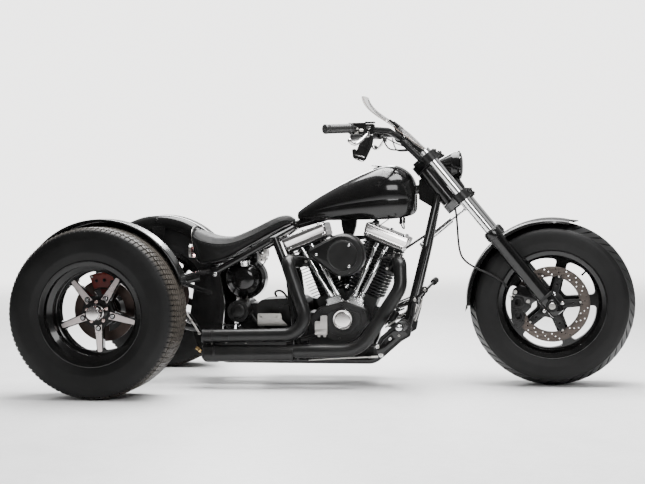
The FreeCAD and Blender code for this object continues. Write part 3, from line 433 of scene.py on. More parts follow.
# ---- finishes ------------------------------------------------------------
dust_colour = (0.19, 0.17, 0.15, 1.0)
bare_metal = (0.72, 0.64, 0.63, 1.0)


def blank_finish(name, **fixed):
    """A material with its Principled shader's fixed values set on their own sockets."""
    material = bpy.data.materials.new(name)
    material.use_nodes = True
    tree = material.node_tree
    shader = tree.nodes["Principled BSDF"]
    for key, value in fixed.items():
        shader.inputs[key.replace("_", " ")].default_value = value
    return material, tree, shader


def coated(name, colour, second, rough, rough_spread, grain, depth, edge=0.0012,
           worn=(0.5, 0.5, 0.5, 1), wear=0.0, dust=0.18, reach=0.7, detail=None, bright=None, **fixed):
    """A painted, plated or cast finish.

    colour drifts to second in soft patches; rough varies by its spread with fine marks; grain is the
    bump's pattern per metre and depth its height; edges are softened, and show worn in places.
    bright gives the share where polished metal is bare of the coat.
    """
    material, tree, shader = blank_finish(name, **fixed)
    marks = put_group(tree, surface_marks, {"Scale": grain})
    edges = put_group(tree, soft_edges, {"Radius": edge})
    film = put_group(tree, settled_dust, {"Amount": dust, "Reach": reach})["Dust"]
    base = mix_colour(tree, ramp(tree, marks["Cloudy"], 0.35, 0.7), colour, second)
    height = marks["Fine"]
    if detail:
        base, height = detail(tree, base, height)
    if wear:
        rubbed = sums(tree, "MULTIPLY", edges["Edge"], ramp(tree, marks["Cloudy"], 0.46, 0.62, 0.0, wear))
        base = mix_colour(tree, rubbed, base, worn)
    if bright:
        bare = bright(tree)
        base = mix_colour(tree, bare, base, bare_metal)
        tree.links.new(bare, shader.inputs["Metallic"])
        rough_share = sums(tree, "MULTIPLY", bare, 0.12)
    base = mix_colour(tree, film, base, dust_colour)
    tree.links.new(base, shader.inputs["Base Color"])
    spread = sums(tree, "MULTIPLY", sums(tree, "ADD", marks["Cloudy"], marks["Scratches"]), rough_spread)
    dulled = sums(tree, "ADD", sums(tree, "MULTIPLY", film, 0.8),
                  sums(tree, "ADD", spread, rough - rough_spread / 2))
    if bright:
        dulled = sums(tree, "ADD", dulled, rough_share)
    tree.links.new(dulled, shader.inputs["Roughness"])
    bump = add(tree, "ShaderNodeBump",
               {"Height": height, "Distance": depth, "Strength": 0.6, "Normal": edges["Normal"]})
    tree.links.new(bump.outputs[0], shader.inputs["Normal"])
    return material


def grey(value, alpha=1.0):
    return (value, value, value, alpha)


def gloss_paint(name, colour, second, **more):
    return coated(name, colour, second, 0.16, 0.10, 55.0, 0.0002, Coat_Weight=0.45, Coat_Roughness=0.03,
                  Coat_IOR=1.42, Specular_IOR_Level=0.22, **more)


gloss_black = gloss_paint("gloss_black_paint", grey(0.004), grey(0.006), dust=0.05)
frame_black = gloss_paint("frame_black_paint", grey(0.005), grey(0.008), dust=0.10, worn=grey(0.12),
                          wear=0.4)


def spoke_faces(tree):
    """The raised faces of the rear wheels' spokes, left bare of paint."""
    around = put_group(tree, about_axle, {"Axle": rear_axle * MM})
    outboard = ramp(tree, around["Across"], (rear_half_track + 12.2) * MM, (rear_half_track + 12.7) * MM)
    outside = ramp(tree, around["Radius"], 0.0505, 0.0515)
    return sums(tree, "MULTIPLY", outboard,
                sums(tree, "MULTIPLY", outside, ramp(tree, around["Radius"], 0.1565, 0.1555)))


wheel_black = gloss_paint("wheel_black_paint", grey(0.003), grey(0.005), dust=0.04)
rear_wheel_black = gloss_paint("rear_wheel_black_paint", grey(0.003), grey(0.005), dust=0.04,
                               bright=spoke_faces)
satin_black = coated("satin_black_coat", grey(0.004), grey(0.007), 0.32, 0.14, 900.0, 0.00015,
                     worn=grey(0.2), wear=0.3, dust=0.08, Specular_IOR_Level=0.24)
engine_black = coated("wrinkled_black_cast", grey(0.005), grey(0.009), 0.42, 0.18, 1400.0, 0.0004,
                      worn=grey(0.2), wear=0.3, dust=0.10, Specular_IOR_Level=0.3)
exhaust_black = coated("ceramic_black_coat", grey(0.005), grey(0.008), 0.31, 0.12, 700.0, 0.00012,
                       edge=0.0008, dust=0.05, Specular_IOR_Level=0.28)
rubber = coated("moulded_rubber", grey(0.005), grey(0.009), 0.50, 0.14, 1200.0, 0.0002, dust=0.12,
                Specular_IOR_Level=0.3)
chrome = coated("chrome_plate", grey(0.74), grey(0.80), 0.07, 0.08, 300.0, 0.00004, edge=0.0006, dust=0.06,
                Metallic=1.0)
steel = coated("zinc_plated_steel", (0.42, 0.41, 0.39, 1), (0.55, 0.53, 0.50, 1), 0.30, 0.20, 800.0,
               0.00010, edge=0.0005, dust=0.15, Metallic=1.0)
polished_aluminium = coated("polished_aluminium", (0.80, 0.79, 0.78, 1), (0.88, 0.86, 0.85, 1), 0.13, 0.14,
                            240.0, 0.00012, edge=0.0014, dust=0.08, Metallic=1.0)
brass = coated("brass_fitting", (0.62, 0.42, 0.17, 1), (0.70, 0.50, 0.24, 1), 0.24, 0.16, 500.0, 0.0001,
               edge=0.0004, Metallic=1.0)
copper = coated("copper_washer", (0.70, 0.33, 0.19, 1), (0.55, 0.25, 0.14, 1), 0.28, 0.16, 500.0, 0.0001,
                edge=0.0003, Metallic=1.0)
caliper_red = coated("caliper_red_paint", (0.20, 0.022, 0.014, 1), (0.13, 0.016, 0.012, 1), 0.30, 0.14,
                     400.0, 0.0002, worn=grey(0.4), wear=0.5, Coat_Weight=0.5)


def brushed_rings(tree, base, _height):
    """Fine turned rings about the front axle, with a faint heat tint near the pads' track."""
    around = put_group(tree, about_axle, {"Axle": front_axle * MM})
    feeds = {0: sums(tree, "MULTIPLY", around["Radius"], 900.0),
             1: sums(tree, "MULTIPLY", around["Angle"], 1.5)}
    rings = add(tree, "ShaderNodeCombineXYZ", feeds).outputs[0]
    lines = noise(tree, rings, 1.0, 4.0, 0.7)
    track = ramp(tree, sums(tree, "ABSOLUTE", sums(tree, "SUBTRACT", around["Radius"], 0.130)), 0.020,
                 0.008)
    tinted = mix_colour(tree, sums(tree, "MULTIPLY", track, 0.6), base, (0.095, 0.078, 0.068, 1))
    shaded = mix_colour(tree, ramp(tree, lines, 0.35, 0.65, 0.0, 0.35), tinted, (0.04, 0.034, 0.03, 1))
    return shaded, lines


disc_steel = coated("ground_disc_steel", (0.075, 0.064, 0.058, 1), (0.05, 0.043, 0.04, 1), 0.40, 0.14,
                    500.0, 0.00012, edge=0.0004, dust=0.06, detail=brushed_rings, Metallic=0.85)
rear_disc_steel = coated("rear_disc_steel", (0.060, 0.042, 0.036, 1), (0.035, 0.026, 0.024, 1), 0.34, 0.14,
                         500.0, 0.00012, edge=0.0004, dust=0.05, Metallic=0.8)


def tyre_walls(axle, top):
    """Rubber moulded in fine rings on the wall, greyer where the tread meets the road."""
    def detail(tree, base, height):
        around = put_group(tree, about_axle, {"Axle": axle * MM})
        worn = ramp(tree, around["Radius"], 0.314, 0.327)
        wall = ramp(tree, around["Radius"], 0.312, 0.300)
        ribs = sums(tree, "SINE", sums(tree, "MULTIPLY", around["Radius"], 2400.0))
        base = mix_colour(tree, worn, base, top)
        raised = sums(tree, "MULTIPLY", sums(tree, "MULTIPLY", ribs, wall), 0.35)
        return base, sums(tree, "ADD", height, raised)
    return detail


def tyre_rubber(name, axle, top):
    return coated(name, grey(0.0035), grey(0.006), 0.46, 0.14, 900.0, 0.00025, edge=0.0008, dust=0.015,
                  reach=0.5, detail=tyre_walls(axle, top), Specular_IOR_Level=0.19)


front_rubber = tyre_rubber("front_tyre_rubber", front_axle, grey(0.010))
rear_rubber = tyre_rubber("rear_tyre_rubber", rear_axle, (0.034, 0.029, 0.024, 1))
slider_black = gloss_paint("slider_black_paint", grey(0.003), grey(0.005), dust=0.03)

hub_bolt_metal = coated("warm_plated_bolts", (0.62, 0.46, 0.43, 1), (0.72, 0.56, 0.53, 1), 0.22, 0.16,
                        500.0, 0.0001, edge=0.0004, dust=0.06, Metallic=1.0)
cap_metal = coated("brushed_cap", (0.74, 0.70, 0.69, 1), (0.80, 0.77, 0.76, 1), 0.24, 0.12, 700.0, 0.00008,
                   edge=0.0006, dust=0.05, Metallic=1.0)


def brushed_along(tree, base, _height):
    """Long fine brush lines along the trike."""
    feeds = {"Vector": object_place(tree), "Scale": (3.0, 60.0, 60.0)}
    place = add(tree, "ShaderNodeMapping", feeds).outputs[0]
    lines = noise(tree, place, 14.0, 4.0, 0.6)
    return mix_colour(tree, ramp(tree, lines, 0.3, 0.7, 0.0, 0.5), base, (0.60, 0.56, 0.55, 1)), lines


fin_metal = coated("machined_fin_edges", (0.52, 0.51, 0.49, 1), (0.36, 0.35, 0.34, 1), 0.22, 0.16, 500.0,
                   0.0001, edge=0.0003, dust=0.05, Metallic=1.0)
rocker_metal = coated("polished_rocker_covers", (0.82, 0.79, 0.78, 1), (0.88, 0.86, 0.86, 1), 0.15, 0.10,
                      240.0, 0.00006, edge=0.0012, dust=0.04, detail=brushed_along, Metallic=1.0)
cast_aluminium = coated("cast_aluminium", (0.62, 0.60, 0.58, 1), (0.50, 0.48, 0.46, 1), 0.34, 0.18, 700.0,
                        0.0003, edge=0.0008, dust=0.10, Metallic=0.9)
cover_metal = coated("turned_cover", (0.80, 0.77, 0.75, 1), (0.86, 0.84, 0.82, 1), 0.20, 0.10, 300.0,
                     0.00006, edge=0.0006, dust=0.05, Metallic=1.0)
cleaner_black = coated("cleaner_black_coat", grey(0.006), grey(0.009), 0.36, 0.12, 1100.0, 0.00015,
                       dust=0.06, Specular_IOR_Level=0.24)
leather = coated("black_leather", grey(0.006), grey(0.010), 0.56, 0.14, 420.0, 0.0005, worn=grey(0.05),
                 wear=0.25, dust=0.08, edge=0.002, Specular_IOR_Level=0.13)
stitch_thread = coated("seat_thread", grey(0.012), grey(0.02), 0.6, 0.1, 2400.0, 0.0002)
grip_rubber = coated("grip_rubber", grey(0.012), grey(0.02), 0.30, 0.10, 900.0, 0.00012,
                     Specular_IOR_Level=0.5)
screen_trim = coated("screen_edge", (0.12, 0.075, 0.05, 1), (0.09, 0.06, 0.04, 1), 0.30, 0.1, 700.0, 0.0001)


# ---- geometry trees -------------------------------------------------------
def geometry_tree(name, wants):
    """An empty tree with its inputs; gives the tree, its input sockets and its output socket."""
    tree = bpy.data.node_groups.new(name, "GeometryNodeTree")
    tree.interface.new_socket("Geometry", in_out="INPUT", socket_type="NodeSocketGeometry")
    for label, kind, value in wants:
        socket = tree.interface.new_socket(label, in_out="INPUT", socket_type="NodeSocket" + kind)
        if value is not None:
            socket.default_value = value
    tree.interface.new_socket("Geometry", in_out="OUTPUT", socket_type="NodeSocketGeometry")
    return tree, tree.nodes.new("NodeGroupInput").outputs, tree.nodes.new("NodeGroupOutput").inputs[0]


def grow(name, seed_mesh, tree, values):
    """Runs a tree on a seed mesh and gives the plain mesh that it makes."""
    seed = put(name, seed_mesh)
    modifier = seed.modifiers.new(tree.name, "NODES")
    modifier.node_group = tree
    for item in tree.interface.items_tree:
        if item.in_out == "INPUT" and item.name in values:
            modifier[item.identifier] = values[item.name]
    made = baked(seed)
    seed.modifiers.clear()
    bpy.data.objects.remove(seed)
    bpy.data.meshes.remove(seed_mesh)
    return made


def build_repeat_round():
    """Copies the seed evenly about a line across the trike, and welds the copies."""
    wants = [("Count", "Int", 5), ("Axle", "Vector", (0, 0, 0)), ("Weld", "Float", 0.0),
             ("Finish", "Material", None)]
    tree, given, out = geometry_tree("repeat_round", wants)
    centred = add(tree, "GeometryNodeTransform", {"Geometry": given["Geometry"]})
    feeds = {0: given["Axle"], 1: (-1.0, -1.0, -1.0)}
    back = add(tree, "ShaderNodeVectorMath", feeds, operation="MULTIPLY").outputs[0]
    tree.links.new(back, centred.inputs["Translation"])
    points = add(tree, "GeometryNodeMeshLine", {"Count": given["Count"], "Offset": (0, 0, 0)})
    step = sums(tree, "DIVIDE", 2 * pi, given["Count"])
    turn = sums(tree, "MULTIPLY", add(tree, "GeometryNodeInputIndex").outputs[0], step)
    angle = add(tree, "ShaderNodeCombineXYZ", {1: sums(tree, "MULTIPLY", turn, -1.0)}).outputs[0]
    copies = add(tree, "GeometryNodeInstanceOnPoints",
                 {"Points": points.outputs[0], "Instance": centred.outputs[0],
                  "Rotation": add(tree, "FunctionNodeEulerToRotation", {0: angle}).outputs[0]})
    real = add(tree, "GeometryNodeRealizeInstances", {0: copies.outputs[0]})
    placed = add(tree, "GeometryNodeTransform", {"Geometry": real.outputs[0], "Translation": given["Axle"]})
    welded = add(tree, "GeometryNodeMergeByDistance",
                 {"Geometry": placed.outputs[0], "Distance": given["Weld"]})
    coloured = add(tree, "GeometryNodeSetMaterial",
                   {"Geometry": welded.outputs[0], "Material": given["Finish"]})
    tree.links.new(coloured.outputs[0], out)
    return tree


def build_set_heads():
    """Sets one fastener head on each point of the seed, facing and sized as the point's attributes say."""
    tree, given, out = geometry_tree("set_heads", [("Head", "Object", None), ("Finish", "Material", None)])
    head = add(tree, "GeometryNodeObjectInfo", {"Object": given["Head"]})
    facing_way = add(tree, "GeometryNodeInputNamedAttribute", {"Name": "facing"},
                     data_type="FLOAT_VECTOR").outputs[0]
    size = add(tree, "GeometryNodeInputNamedAttribute", {"Name": "size"}, data_type="FLOAT").outputs[0]
    towards = add(tree, "FunctionNodeAlignRotationToVector", {"Vector": facing_way}, axis="Z")
    copies = add(tree, "GeometryNodeInstanceOnPoints",
                 {"Points": given["Geometry"], "Instance": head.outputs["Geometry"],
                  "Rotation": towards.outputs[0], "Scale": size})
    real = add(tree, "GeometryNodeRealizeInstances", {0: copies.outputs[0]})
    coloured = add(tree, "GeometryNodeSetMaterial",
                   {"Geometry": real.outputs[0], "Material": given["Finish"]})
    tree.links.new(coloured.outputs[0], out)
    return tree


repeat_round = build_repeat_round()
set_heads = build_set_heads()


def hidden_head(name, profile, steps, socket_radius=0.0, socket_depth=0.0):
    """A fastener head of unit radius, its seat on the origin, kept only to be copied."""
    work = bmesh.new()
    add_lathe(work, profile, Matrix(), steps)
    bmesh.ops.remove_doubles(work, verts=work.verts, dist=1e-5)
    top = max(work.faces, key=lambda face: face.calc_center_median().z)
    if socket_radius:
        crown = [face for face in work.faces if face.normal.z > 0.98 or face is top]
        centre = max(vert.co.z for vert in work.verts)
        bmesh.ops.delete(work, geom=crown, context="FACES_ONLY")
        edge = sorted((vert for vert in work.verts if abs(vert.co.z - centre) < 1e-4 and vert.is_boundary),
                      key=lambda vert: atan2(vert.co.y, vert.co.x))
        inner = []
        for vert in edge:
            angle = atan2(vert.co.y, vert.co.x)
            reach = socket_radius * cos(pi / 6) / cos((angle % (pi / 3)) - pi / 6)
            inner.append(work.verts.new((reach * cos(angle), reach * sin(angle), centre)))
        floor = [work.verts.new(vert.co - Vector((0, 0, socket_depth))) for vert in inner]
        for index in range(len(edge)):
            after = (index + 1) % len(edge)
            work.faces.new((edge[index], edge[after], inner[after], inner[index]))
            work.faces.new((inner[index], inner[after], floor[after], floor[index]))
        work.faces.new(floor)
    bmesh.ops.recalc_face_normals(work, faces=work.faces)
    mesh = bpy.data.meshes.new(name)
    work.to_mesh(mesh)
    work.free()
    return bpy.data.objects.new(name, mesh)


cap_head = hidden_head("cap_head", [(1.0, 0), (1.0, 0.85), (0.93, 0.95), (0.86, 1.0), (0, 1.0)], 18, 0.52,
                       0.5)
button_head = hidden_head("button_head", [(1.0, 0), (0.98, 0.16), (0.82, 0.40), (0.60, 0.52), (0, 0.52)],
                          18, 0.40, 0.3)
hex_head = hidden_head("hex_head", [(1.0, 0), (1.0, 0.60), (0.90, 0.70), (0, 0.70)], 6)
dome_nut = hidden_head("dome_nut", [(1.0, 0), (1.0, 0.7), (0.8, 0.8), (0.72, 1.1), (0.45, 1.45), (0, 1.6)],
                       12)
washer = hidden_head("washer", [(1.0, 0), (1.0, 0.12), (0.92, 0.18), (0, 0.18)], 20)


def fasten(name, head, rows, finish, body="chassis", slot=None):
    """Fastener heads on rows of place, direction and radius, as one piece on one body."""
    mesh = bpy.data.meshes.new(name)
    mesh.from_pydata([Vector(place) * MM for place, _, _ in rows], [], [])
    mesh.attributes.new("facing", "FLOAT_VECTOR", "POINT")
    mesh.attributes.new("size", "FLOAT", "POINT")
    for index, (_, direction, radius) in enumerate(rows):
        mesh.attributes["facing"].data[index].vector = Vector(direction).normalized()
        mesh.attributes["size"].data[index].value = radius * MM
    values = {"Head": head, "Finish": finish}
    return set_up(name, grow(name, mesh, set_heads, values), finish, body, slot, smooth=30)


# ---- tyres ----------------------------------------------------------------
def profile_radius(points, y):
    """The radius of a tyre's outline at a distance from its middle."""
    for (r0, y0), (r1, y1) in zip(points, points[1:]):
        if min(y0, y1) <= y <= max(y0, y1) and abs(y1 - y0) > 1e-6 and max(r0, r1) > 300:
            return r0 + (r1 - r0) * (y - y0) / (y1 - y0)
    return tyre_radius


def tyre(name, centre, outline, tread_half, pitches, grooves, slots, ribs, finish, body):
    """A tyre slice copied about its axle.

    outline: rows of radius, y and corner radius for one side, bead first. grooves: y, width, depth and
    zigzag of each channel that runs round. slots: share of the pitch where a cross cut starts and ends,
    its depth, the y it reaches from and to, and its lean along the tread. ribs: radius, width and height
    of each ring on the wall.
    """
    one_side = [tuple(point) for point in rounded(outline)]
    wall = [row for row in one_side if abs(row[1]) > tread_half or row[0] < 300]
    rows = []
    for radius, y in wall:
        lift = max((high_by * max(0.0, 1 - abs(radius - at) / width) for at, width, high_by in ribs),
                   default=0.0)
        rows.append((radius, y + lift, 0.0))
    span = [tread_half]
    for y, width, depth, zigzag in grooves:
        span += [y + width / 2, y + width / 2 - 0.8, y - width / 2 + 0.8, y - width / 2]
    cuts = []
    for y in sorted(set(span + [-tread_half]), reverse=True):
        in_groove = [groove for groove in grooves if abs(y - groove[0]) < groove[1] / 2 - 0.1]
        near_groove = [groove for groove in grooves if abs(y - groove[0]) < groove[1] / 2 + 0.1]
        depth = in_groove[0][2] if in_groove else 0.0
        zigzag = near_groove[0][3] if near_groove else 0.0
        cuts.append((profile_radius(one_side, abs(y)) - depth, y, zigzag))
    full = rows + cuts + [(radius, -y, 0.0) for radius, y, _ in reversed(rows)]
    start, end, slot_depth, reach_from, reach_to, lean = slots
    ease = 0.02
    stations = sorted({0.0, start, start + ease, end - ease, end, 0.5, 1.0})
    pitch = 2 * pi / pitches
    work = bmesh.new()
    lines = []
    for radius, y, zigzag in full:
        line = []
        crossed = reach_from <= abs(y) <= reach_to and radius > 300
        shallow = min(1.0, (radius - 300) / 20) if crossed else 0.0
        for share in stations:
            inside = start + ease - 1e-6 <= share <= end - ease + 1e-6
            at = radius - (slot_depth * shallow if inside and crossed else 0.0)
            sway = zigzag * (4 * abs(share - 0.5) - 1)
            angle = (share + lean * (abs(y) if lean > 0 else y) / 100.0) * pitch
            line.append(work.verts.new(centre + Vector((at * cos(angle), y + sway, at * sin(angle)))))
        lines.append(line)
    for first, second in zip(lines, lines[1:] + lines[:1]):
        for index in range(len(stations) - 1):
            work.faces.new((first[index], first[index + 1], second[index + 1], second[index]))
    values = {"Count": pitches, "Axle": tuple(centre * MM), "Weld": 0.02 * MM, "Finish": finish}
    work.transform(Matrix.Scale(MM, 4))
    mesh = bpy.data.meshes.new(name)
    work.to_mesh(mesh)
    work.free()
    mesh = grow(name, mesh, repeat_round, values)
    whole = bmesh.new()
    whole.from_mesh(mesh)
    bmesh.ops.recalc_face_normals(whole, faces=whole.faces)
    whole.to_mesh(mesh)
    whole.free()
    return set_up(name, mesh, finish, body, stands_for=[name.replace("_tread", "")], smooth=28)


front_bead_radius, rear_bead_radius = 203.0, 190.5
lip_height, lip_thick = 13.5, 6.0


def tyre_outline(bead, bead_half, half_width, shoulder):
    """Bead, wall and shoulder for one side, as rows of radius, y and corner radius."""
    lip = bead + lip_height
    return [(bead, bead_half, 0), (lip, bead_half, 0), (lip, bead_half + lip_thick, 0),
            (bead + 44, half_width, 24), *shoulder, (tyre_radius, 0, 0)]


front_outline = tyre_outline(front_bead_radius, 101, 115,
                             [(286, 115, 26), (316, 92, 40), (tyre_radius, 40, 200)])
rear_outline = tyre_outline(rear_bead_radius, 104, 120.5,
                            [(285, 120.5, 60), (318, 112, 20), (tyre_radius, 84, 60)])
rear_grooves = [(y, 7.5, 8.0, 3.4) for y in (90, 66, 40, 13.5, -13.5, -40, -66, -90)]
tyre("front_tyre_tread", front_axle, front_outline, 104, 46,
     [(0, 7.0, 7.0, 0.0), (34, 3.5, 5.0, 1.5), (-34, 3.5, 5.0, 1.5)], (0.05, 0.27, 8.0, 10, 103, 1.5),
     [(262, 5, 1.2), (226, 4, 1.4), (290, 3, 0.8)], front_rubber, "front_wheel")
for side_name, side in SIDES:
    tyre("rear_tyre_" + side_name + "_tread", rear_centre(side), rear_outline, 106, 100, rear_grooves,
         (0.04, 0.26, 5.0, 20, 112, 0.5), [(268, 6, 1.4), (222, 5, 1.6), (300, 3, 0.8)], rear_rubber,
         "rear_wheel_" + side_name)


# ---- front wheel: drilled disc, carrier and fittings ----------------------
front_spokes_from = 4.0
disc_face = low("front_brake_disc").y
disc_middle = (low("front_brake_disc").y + high("front_brake_disc").y) / 2
disc_thick = (high("front_brake_disc") - low("front_brake_disc")).y
work = bmesh.new()
drillings = []
for step in range(20):
    for radius, turn in ((118, 0), (129, 6), (140, 12)):
        a, b = polar(radius, step * 18 + turn)
        drillings.append(circle(a, b, 2.6, 10))
place = Matrix.Translation((front_axle.x, disc_middle, front_axle.z)) @ Matrix.Rotation(pi / 2, 4, "X")
add_plate(work, [circle(0, 0, 150, 90), circle(0, 0, 109, 72), *drillings], disc_thick, place, 0.4)
piece("front_disc_ring", work, disc_steel, "front_wheel", stands_for=["front_brake_disc"])

work = bmesh.new()
carrier_rim = []
for index in range(5):
    turn = front_spokes_from + 72 * index
    for radius, offset, bend in ((50, -36, 10), (50, -17, 6), (114, -6.6, 4), (114, 6.6, 4), (50, 17, 6)):
        a, b = polar(radius, turn + offset)
        carrier_rim.append((a, b, bend))
lightening = []
for index in range(5):
    a, b = polar(82, front_spokes_from + 72 * index)
    lightening.append(circle(a, b, 4.2, 12))
add_plate(work, [rounded(carrier_rim), circle(0, 0, 22, 36), *lightening], 6.0, place, 0.7)
piece("front_disc_carrier", work, satin_black, "front_wheel")

rivets = []
hub_bolts = []
for index in range(5):
    turn = front_spokes_from + 72 * index
    a, b = polar(111.5, turn)
    rivets.append(((front_axle.x + a, disc_face - 0.5, front_axle.z + b), RIGHT, 4.6))
    a, b = polar(41, turn + 2)
    hub_bolts.append(((front_axle.x + a, disc_face - 0.5, front_axle.z + b), RIGHT, 8.0))
fasten("front_disc_rivets", button_head, rivets, steel, "front_wheel")
fasten("front_disc_bolts", button_head, hub_bolts, chrome, "front_wheel")

a, b = polar(184, 43)
a2, b2 = polar(168, 43)
work = bmesh.new()
add_rod(work, front_axle + Vector((a, -8, b)), front_axle + Vector((a2, -14, b2)), 4.0, 14)
add_rod(work, front_axle + Vector((a2, -14, b2)), front_axle + Vector((a2 - 5, -16, b2 - 5)), 4.6, 14, 1.4)
piece("front_valve_stem", work, rubber, "front_wheel")
for side_name, side in SIDES:
    end = front_axle + Vector((0, side * 189.5, 0))
    turned("axle_nut_" + side_name, [(13, -3), (13, 2.5), (11.5, 4), (7, 4.2), (6.4, 2.4), (0, 2.4)],
           facing(end, (0, side, 0)), 36, steel, "fork")

# ---- front caliper ----------------------------------------------------------
caliper_face = low("front_caliper").y
outer_y, inner_y = caliper_face + 13, high("front_caliper").y - 6


def caliper_outline(grow_by=0.0):
    rows = ((706, 268, 10), (716, 244, 8), (738, 232, 10), (756, 250, 8), (760, 292, 8), (784, 316, 6),
            (790, 344, 8), (768, 360, 8), (756, 380, 8), (728, 384, 10), (706, 362, 10), (703, 314, 30))
    centre = Vector((740, 308))
    moved = []
    for x, z, corner in rows:
        out = (Vector((x, z)) - centre).normalized() * grow_by
        moved.append((x + out.x, z + out.y, corner))
    return rounded(moved)


work = bmesh.new()
add_plate(work, [caliper_outline()], 22, side_view(outer_y), 3.5)
add_plate(work, [caliper_outline(-2)], 11, side_view(inner_y), 2.5)
bridge = rounded([(704, 356, 6), (703, 314, 30), (706, 270, 8), (714, 276, 4), (712, 314, 30),
                  (714, 350, 4)])
add_plate(work, [bridge], 44, side_view((outer_y + inner_y) / 2), 2)
for z in (284, 338):
    place = facing(Vector((733, caliper_face + 3, z)), RIGHT)
    add_lathe(work, [(25, -2), (25, 1), (22.5, 3), (15, 3), (14, 1), (0, 1)], place, 36)
for z in (300, 311, 322):
    add_box(work, (712, caliper_face + 0.6, z - 2), (752, caliper_face + 4, z + 2), 1.0)
add_rod(work, (722, outer_y, 372), (716, outer_y, 384), 8, 20, 1.5)
piece("front_caliper_body", work, satin_black, "fork", stands_for=["front_caliper"], smooth=30)
front_caliper_bolts = [((773, caliper_face + 2, 341), RIGHT, 7.5),
                       ((716, caliper_face + 2, 371), RIGHT, 8.5),
                       ((708, caliper_face + 2, 352), RIGHT, 5.0)]
front_caliper_pins = [((752, caliper_face + 2, 262), RIGHT, 5.5),
                      ((724, caliper_face + 2, 244), RIGHT, 5.0)]
fasten("front_caliper_bolts", cap_head, front_caliper_bolts, steel, "fork")
fasten("front_caliper_pins", button_head, front_caliper_pins, satin_black, "fork")

# ---- rear wheels: caps, nuts and valve stems --------------------------------
spoke_from = {"right": 57.0, "left": 123.0}
for side_name, side in SIDES:
    body = "rear_wheel_" + side_name
    centre = rear_centre(side)
    outward = (0, side, 0)
    nuts, seats, between = [], [], []
    for index in range(5):
        a, b = polar(62, spoke_from[side_name] + 72 * index)
        seats.append((centre + Vector((a, side * 12.9, b)), outward, 11.5))
        nuts.append((centre + Vector((a, side * 14.2, b)), outward, 8.2))
        a, b = polar(41, spoke_from[side_name] + 36 + 72 * index)
        between.append((centre + Vector((a, side * 20, b)), outward, 8.0))
    fasten("wheel_nut_seats_" + side_name, washer, seats, satin_black, body)
    fasten("wheel_nuts_" + side_name, hex_head, nuts, chrome, body)
    fasten("hub_bolts_" + side_name, button_head, between, hub_bolt_metal, body)
    work = bmesh.new()
    cap_face = centre + Vector((0, side * 75.8, 0))
    add_lathe(work, [(25.6, -8), (26.6, -6), (26.6, -1.5), (25, 0.4), (20, 1.6), (10, 2.6), (0, 3.0)],
              facing(cap_face, outward), 48)
    add_lathe(work, [(26, -52), (31, -50), (31, -45), (28.5, -43), (26, -43)], facing(cap_face, outward),
              40, closed=True)
    piece("wheel_cap_" + side_name, work, cap_metal, body)
    a, b = polar(176, 215)
    a2, b2 = polar(160, 215)
    rods("valve_stem_" + side_name,
         [(centre + Vector((a, side * 44, b)), centre + Vector((a2, side * 62, b2)), 4.2, 14)], rubber,
         body)

# ---- rear calipers: pistons, pad pins and bridge bolts ----------------------
caliper_pins, caliper_bolts = [], []
for side_name, side in SIDES:
    centre = rear_centre(side)
    for turn in (72, 87, 102):
        a, b = polar(119, turn)
        caliper_bolts.append((centre + Vector((a, side * -58.5, b)), (0, side, 0), 6.5))
    for turn in (66, 108):
        a, b = polar(139, turn)
        caliper_pins.append((centre + Vector((a, side * -58.5, b)), (0, side, 0), 5.0))
fasten("rear_caliper_plugs", button_head, caliper_bolts, satin_black)
fasten("rear_caliper_bolts", cap_head, caliper_pins, steel)


# ---- rim lips and stepped barrels -----------------------------------------
def rim_liner(name, centre, side, bead, bead_radius, steps, inner, to_y, finish, body):
    """A rolled lip over the rim's edge, running down in soft steps to the wheel's web."""
    lip = bead + lip_thick
    edge = bead_radius + lip_height
    profile = [(edge + 0.6, lip - 4), (edge + 0.6, lip + 0.4), (edge - 1, lip + 2.2),
               (edge - 3.5, lip + 2.4), (edge - 5.5, lip + 0.6)]
    depth = lip + 0.6 - to_y
    drop = edge - 5.5 - inner
    for step in range(steps):
        y = lip + 0.6 - depth * (step + 0.5) / steps
        radius = edge - 5.5 - drop * (step + 0.35) / steps
        profile += [(radius + 0.6, y + 2.2), (radius - 1.2, y + 0.8), (radius - 3.0, y - 0.4)]
    profile += [(inner, to_y + 1), (inner, to_y)]
    work = bmesh.new()
    add_lathe(work, profile, facing(centre, (0, side, 0)), 96)
    return piece(name, work, finish, body, smooth=24)


for side_name, side in SIDES:
    rim_liner("rear_rim_lip_" + side_name, rear_centre(side), side, 104, rear_bead_radius, 6, 160, 10,
              rear_wheel_black, "rear_wheel_" + side_name)
    rim_liner("front_rim_lip_" + side_name, front_axle, side, 101, front_bead_radius, 5, 184, 19,
              wheel_black, "front_wheel")


# ---- cylinders, heads and rocker boxes ------------------------------------
deck_at, head_at, rocker_at = 190, 330, 405


def bank_place(lean, along=0.0, y=0.0):
    """The placing whose Z runs up a cylinder and whose X runs ahead across it."""
    return Matrix.Translation(on_bank(lean, along, 0, y)) @ Matrix.Rotation(bank_angle * lean, 4, "Y")


def round_box(half_a, half_b, corner):
    return rounded([(half_a, -half_b, corner), (half_a, half_b, corner), (-half_a, half_b, corner),
                    (-half_a, -half_b, corner)])


def add_loft(work, place, rows, corner, b_middle=0.0):
    """A block through rounded rectangles: rows of height, half length, half width and finish above."""
    rings = []
    for height, half_a, half_b, _ in rows:
        outline = round_box(half_a, half_b, corner)
        rings.append([work.verts.new(place @ Vector((a, b + b_middle, height))) for a, b in outline])
    join_rings(work, rings, [row[3] for row in rows])
    work.faces.new(list(reversed(rings[0]))).material_index = rows[0][3]
    work.faces.new(rings[-1]).material_index = rows[-1][3]


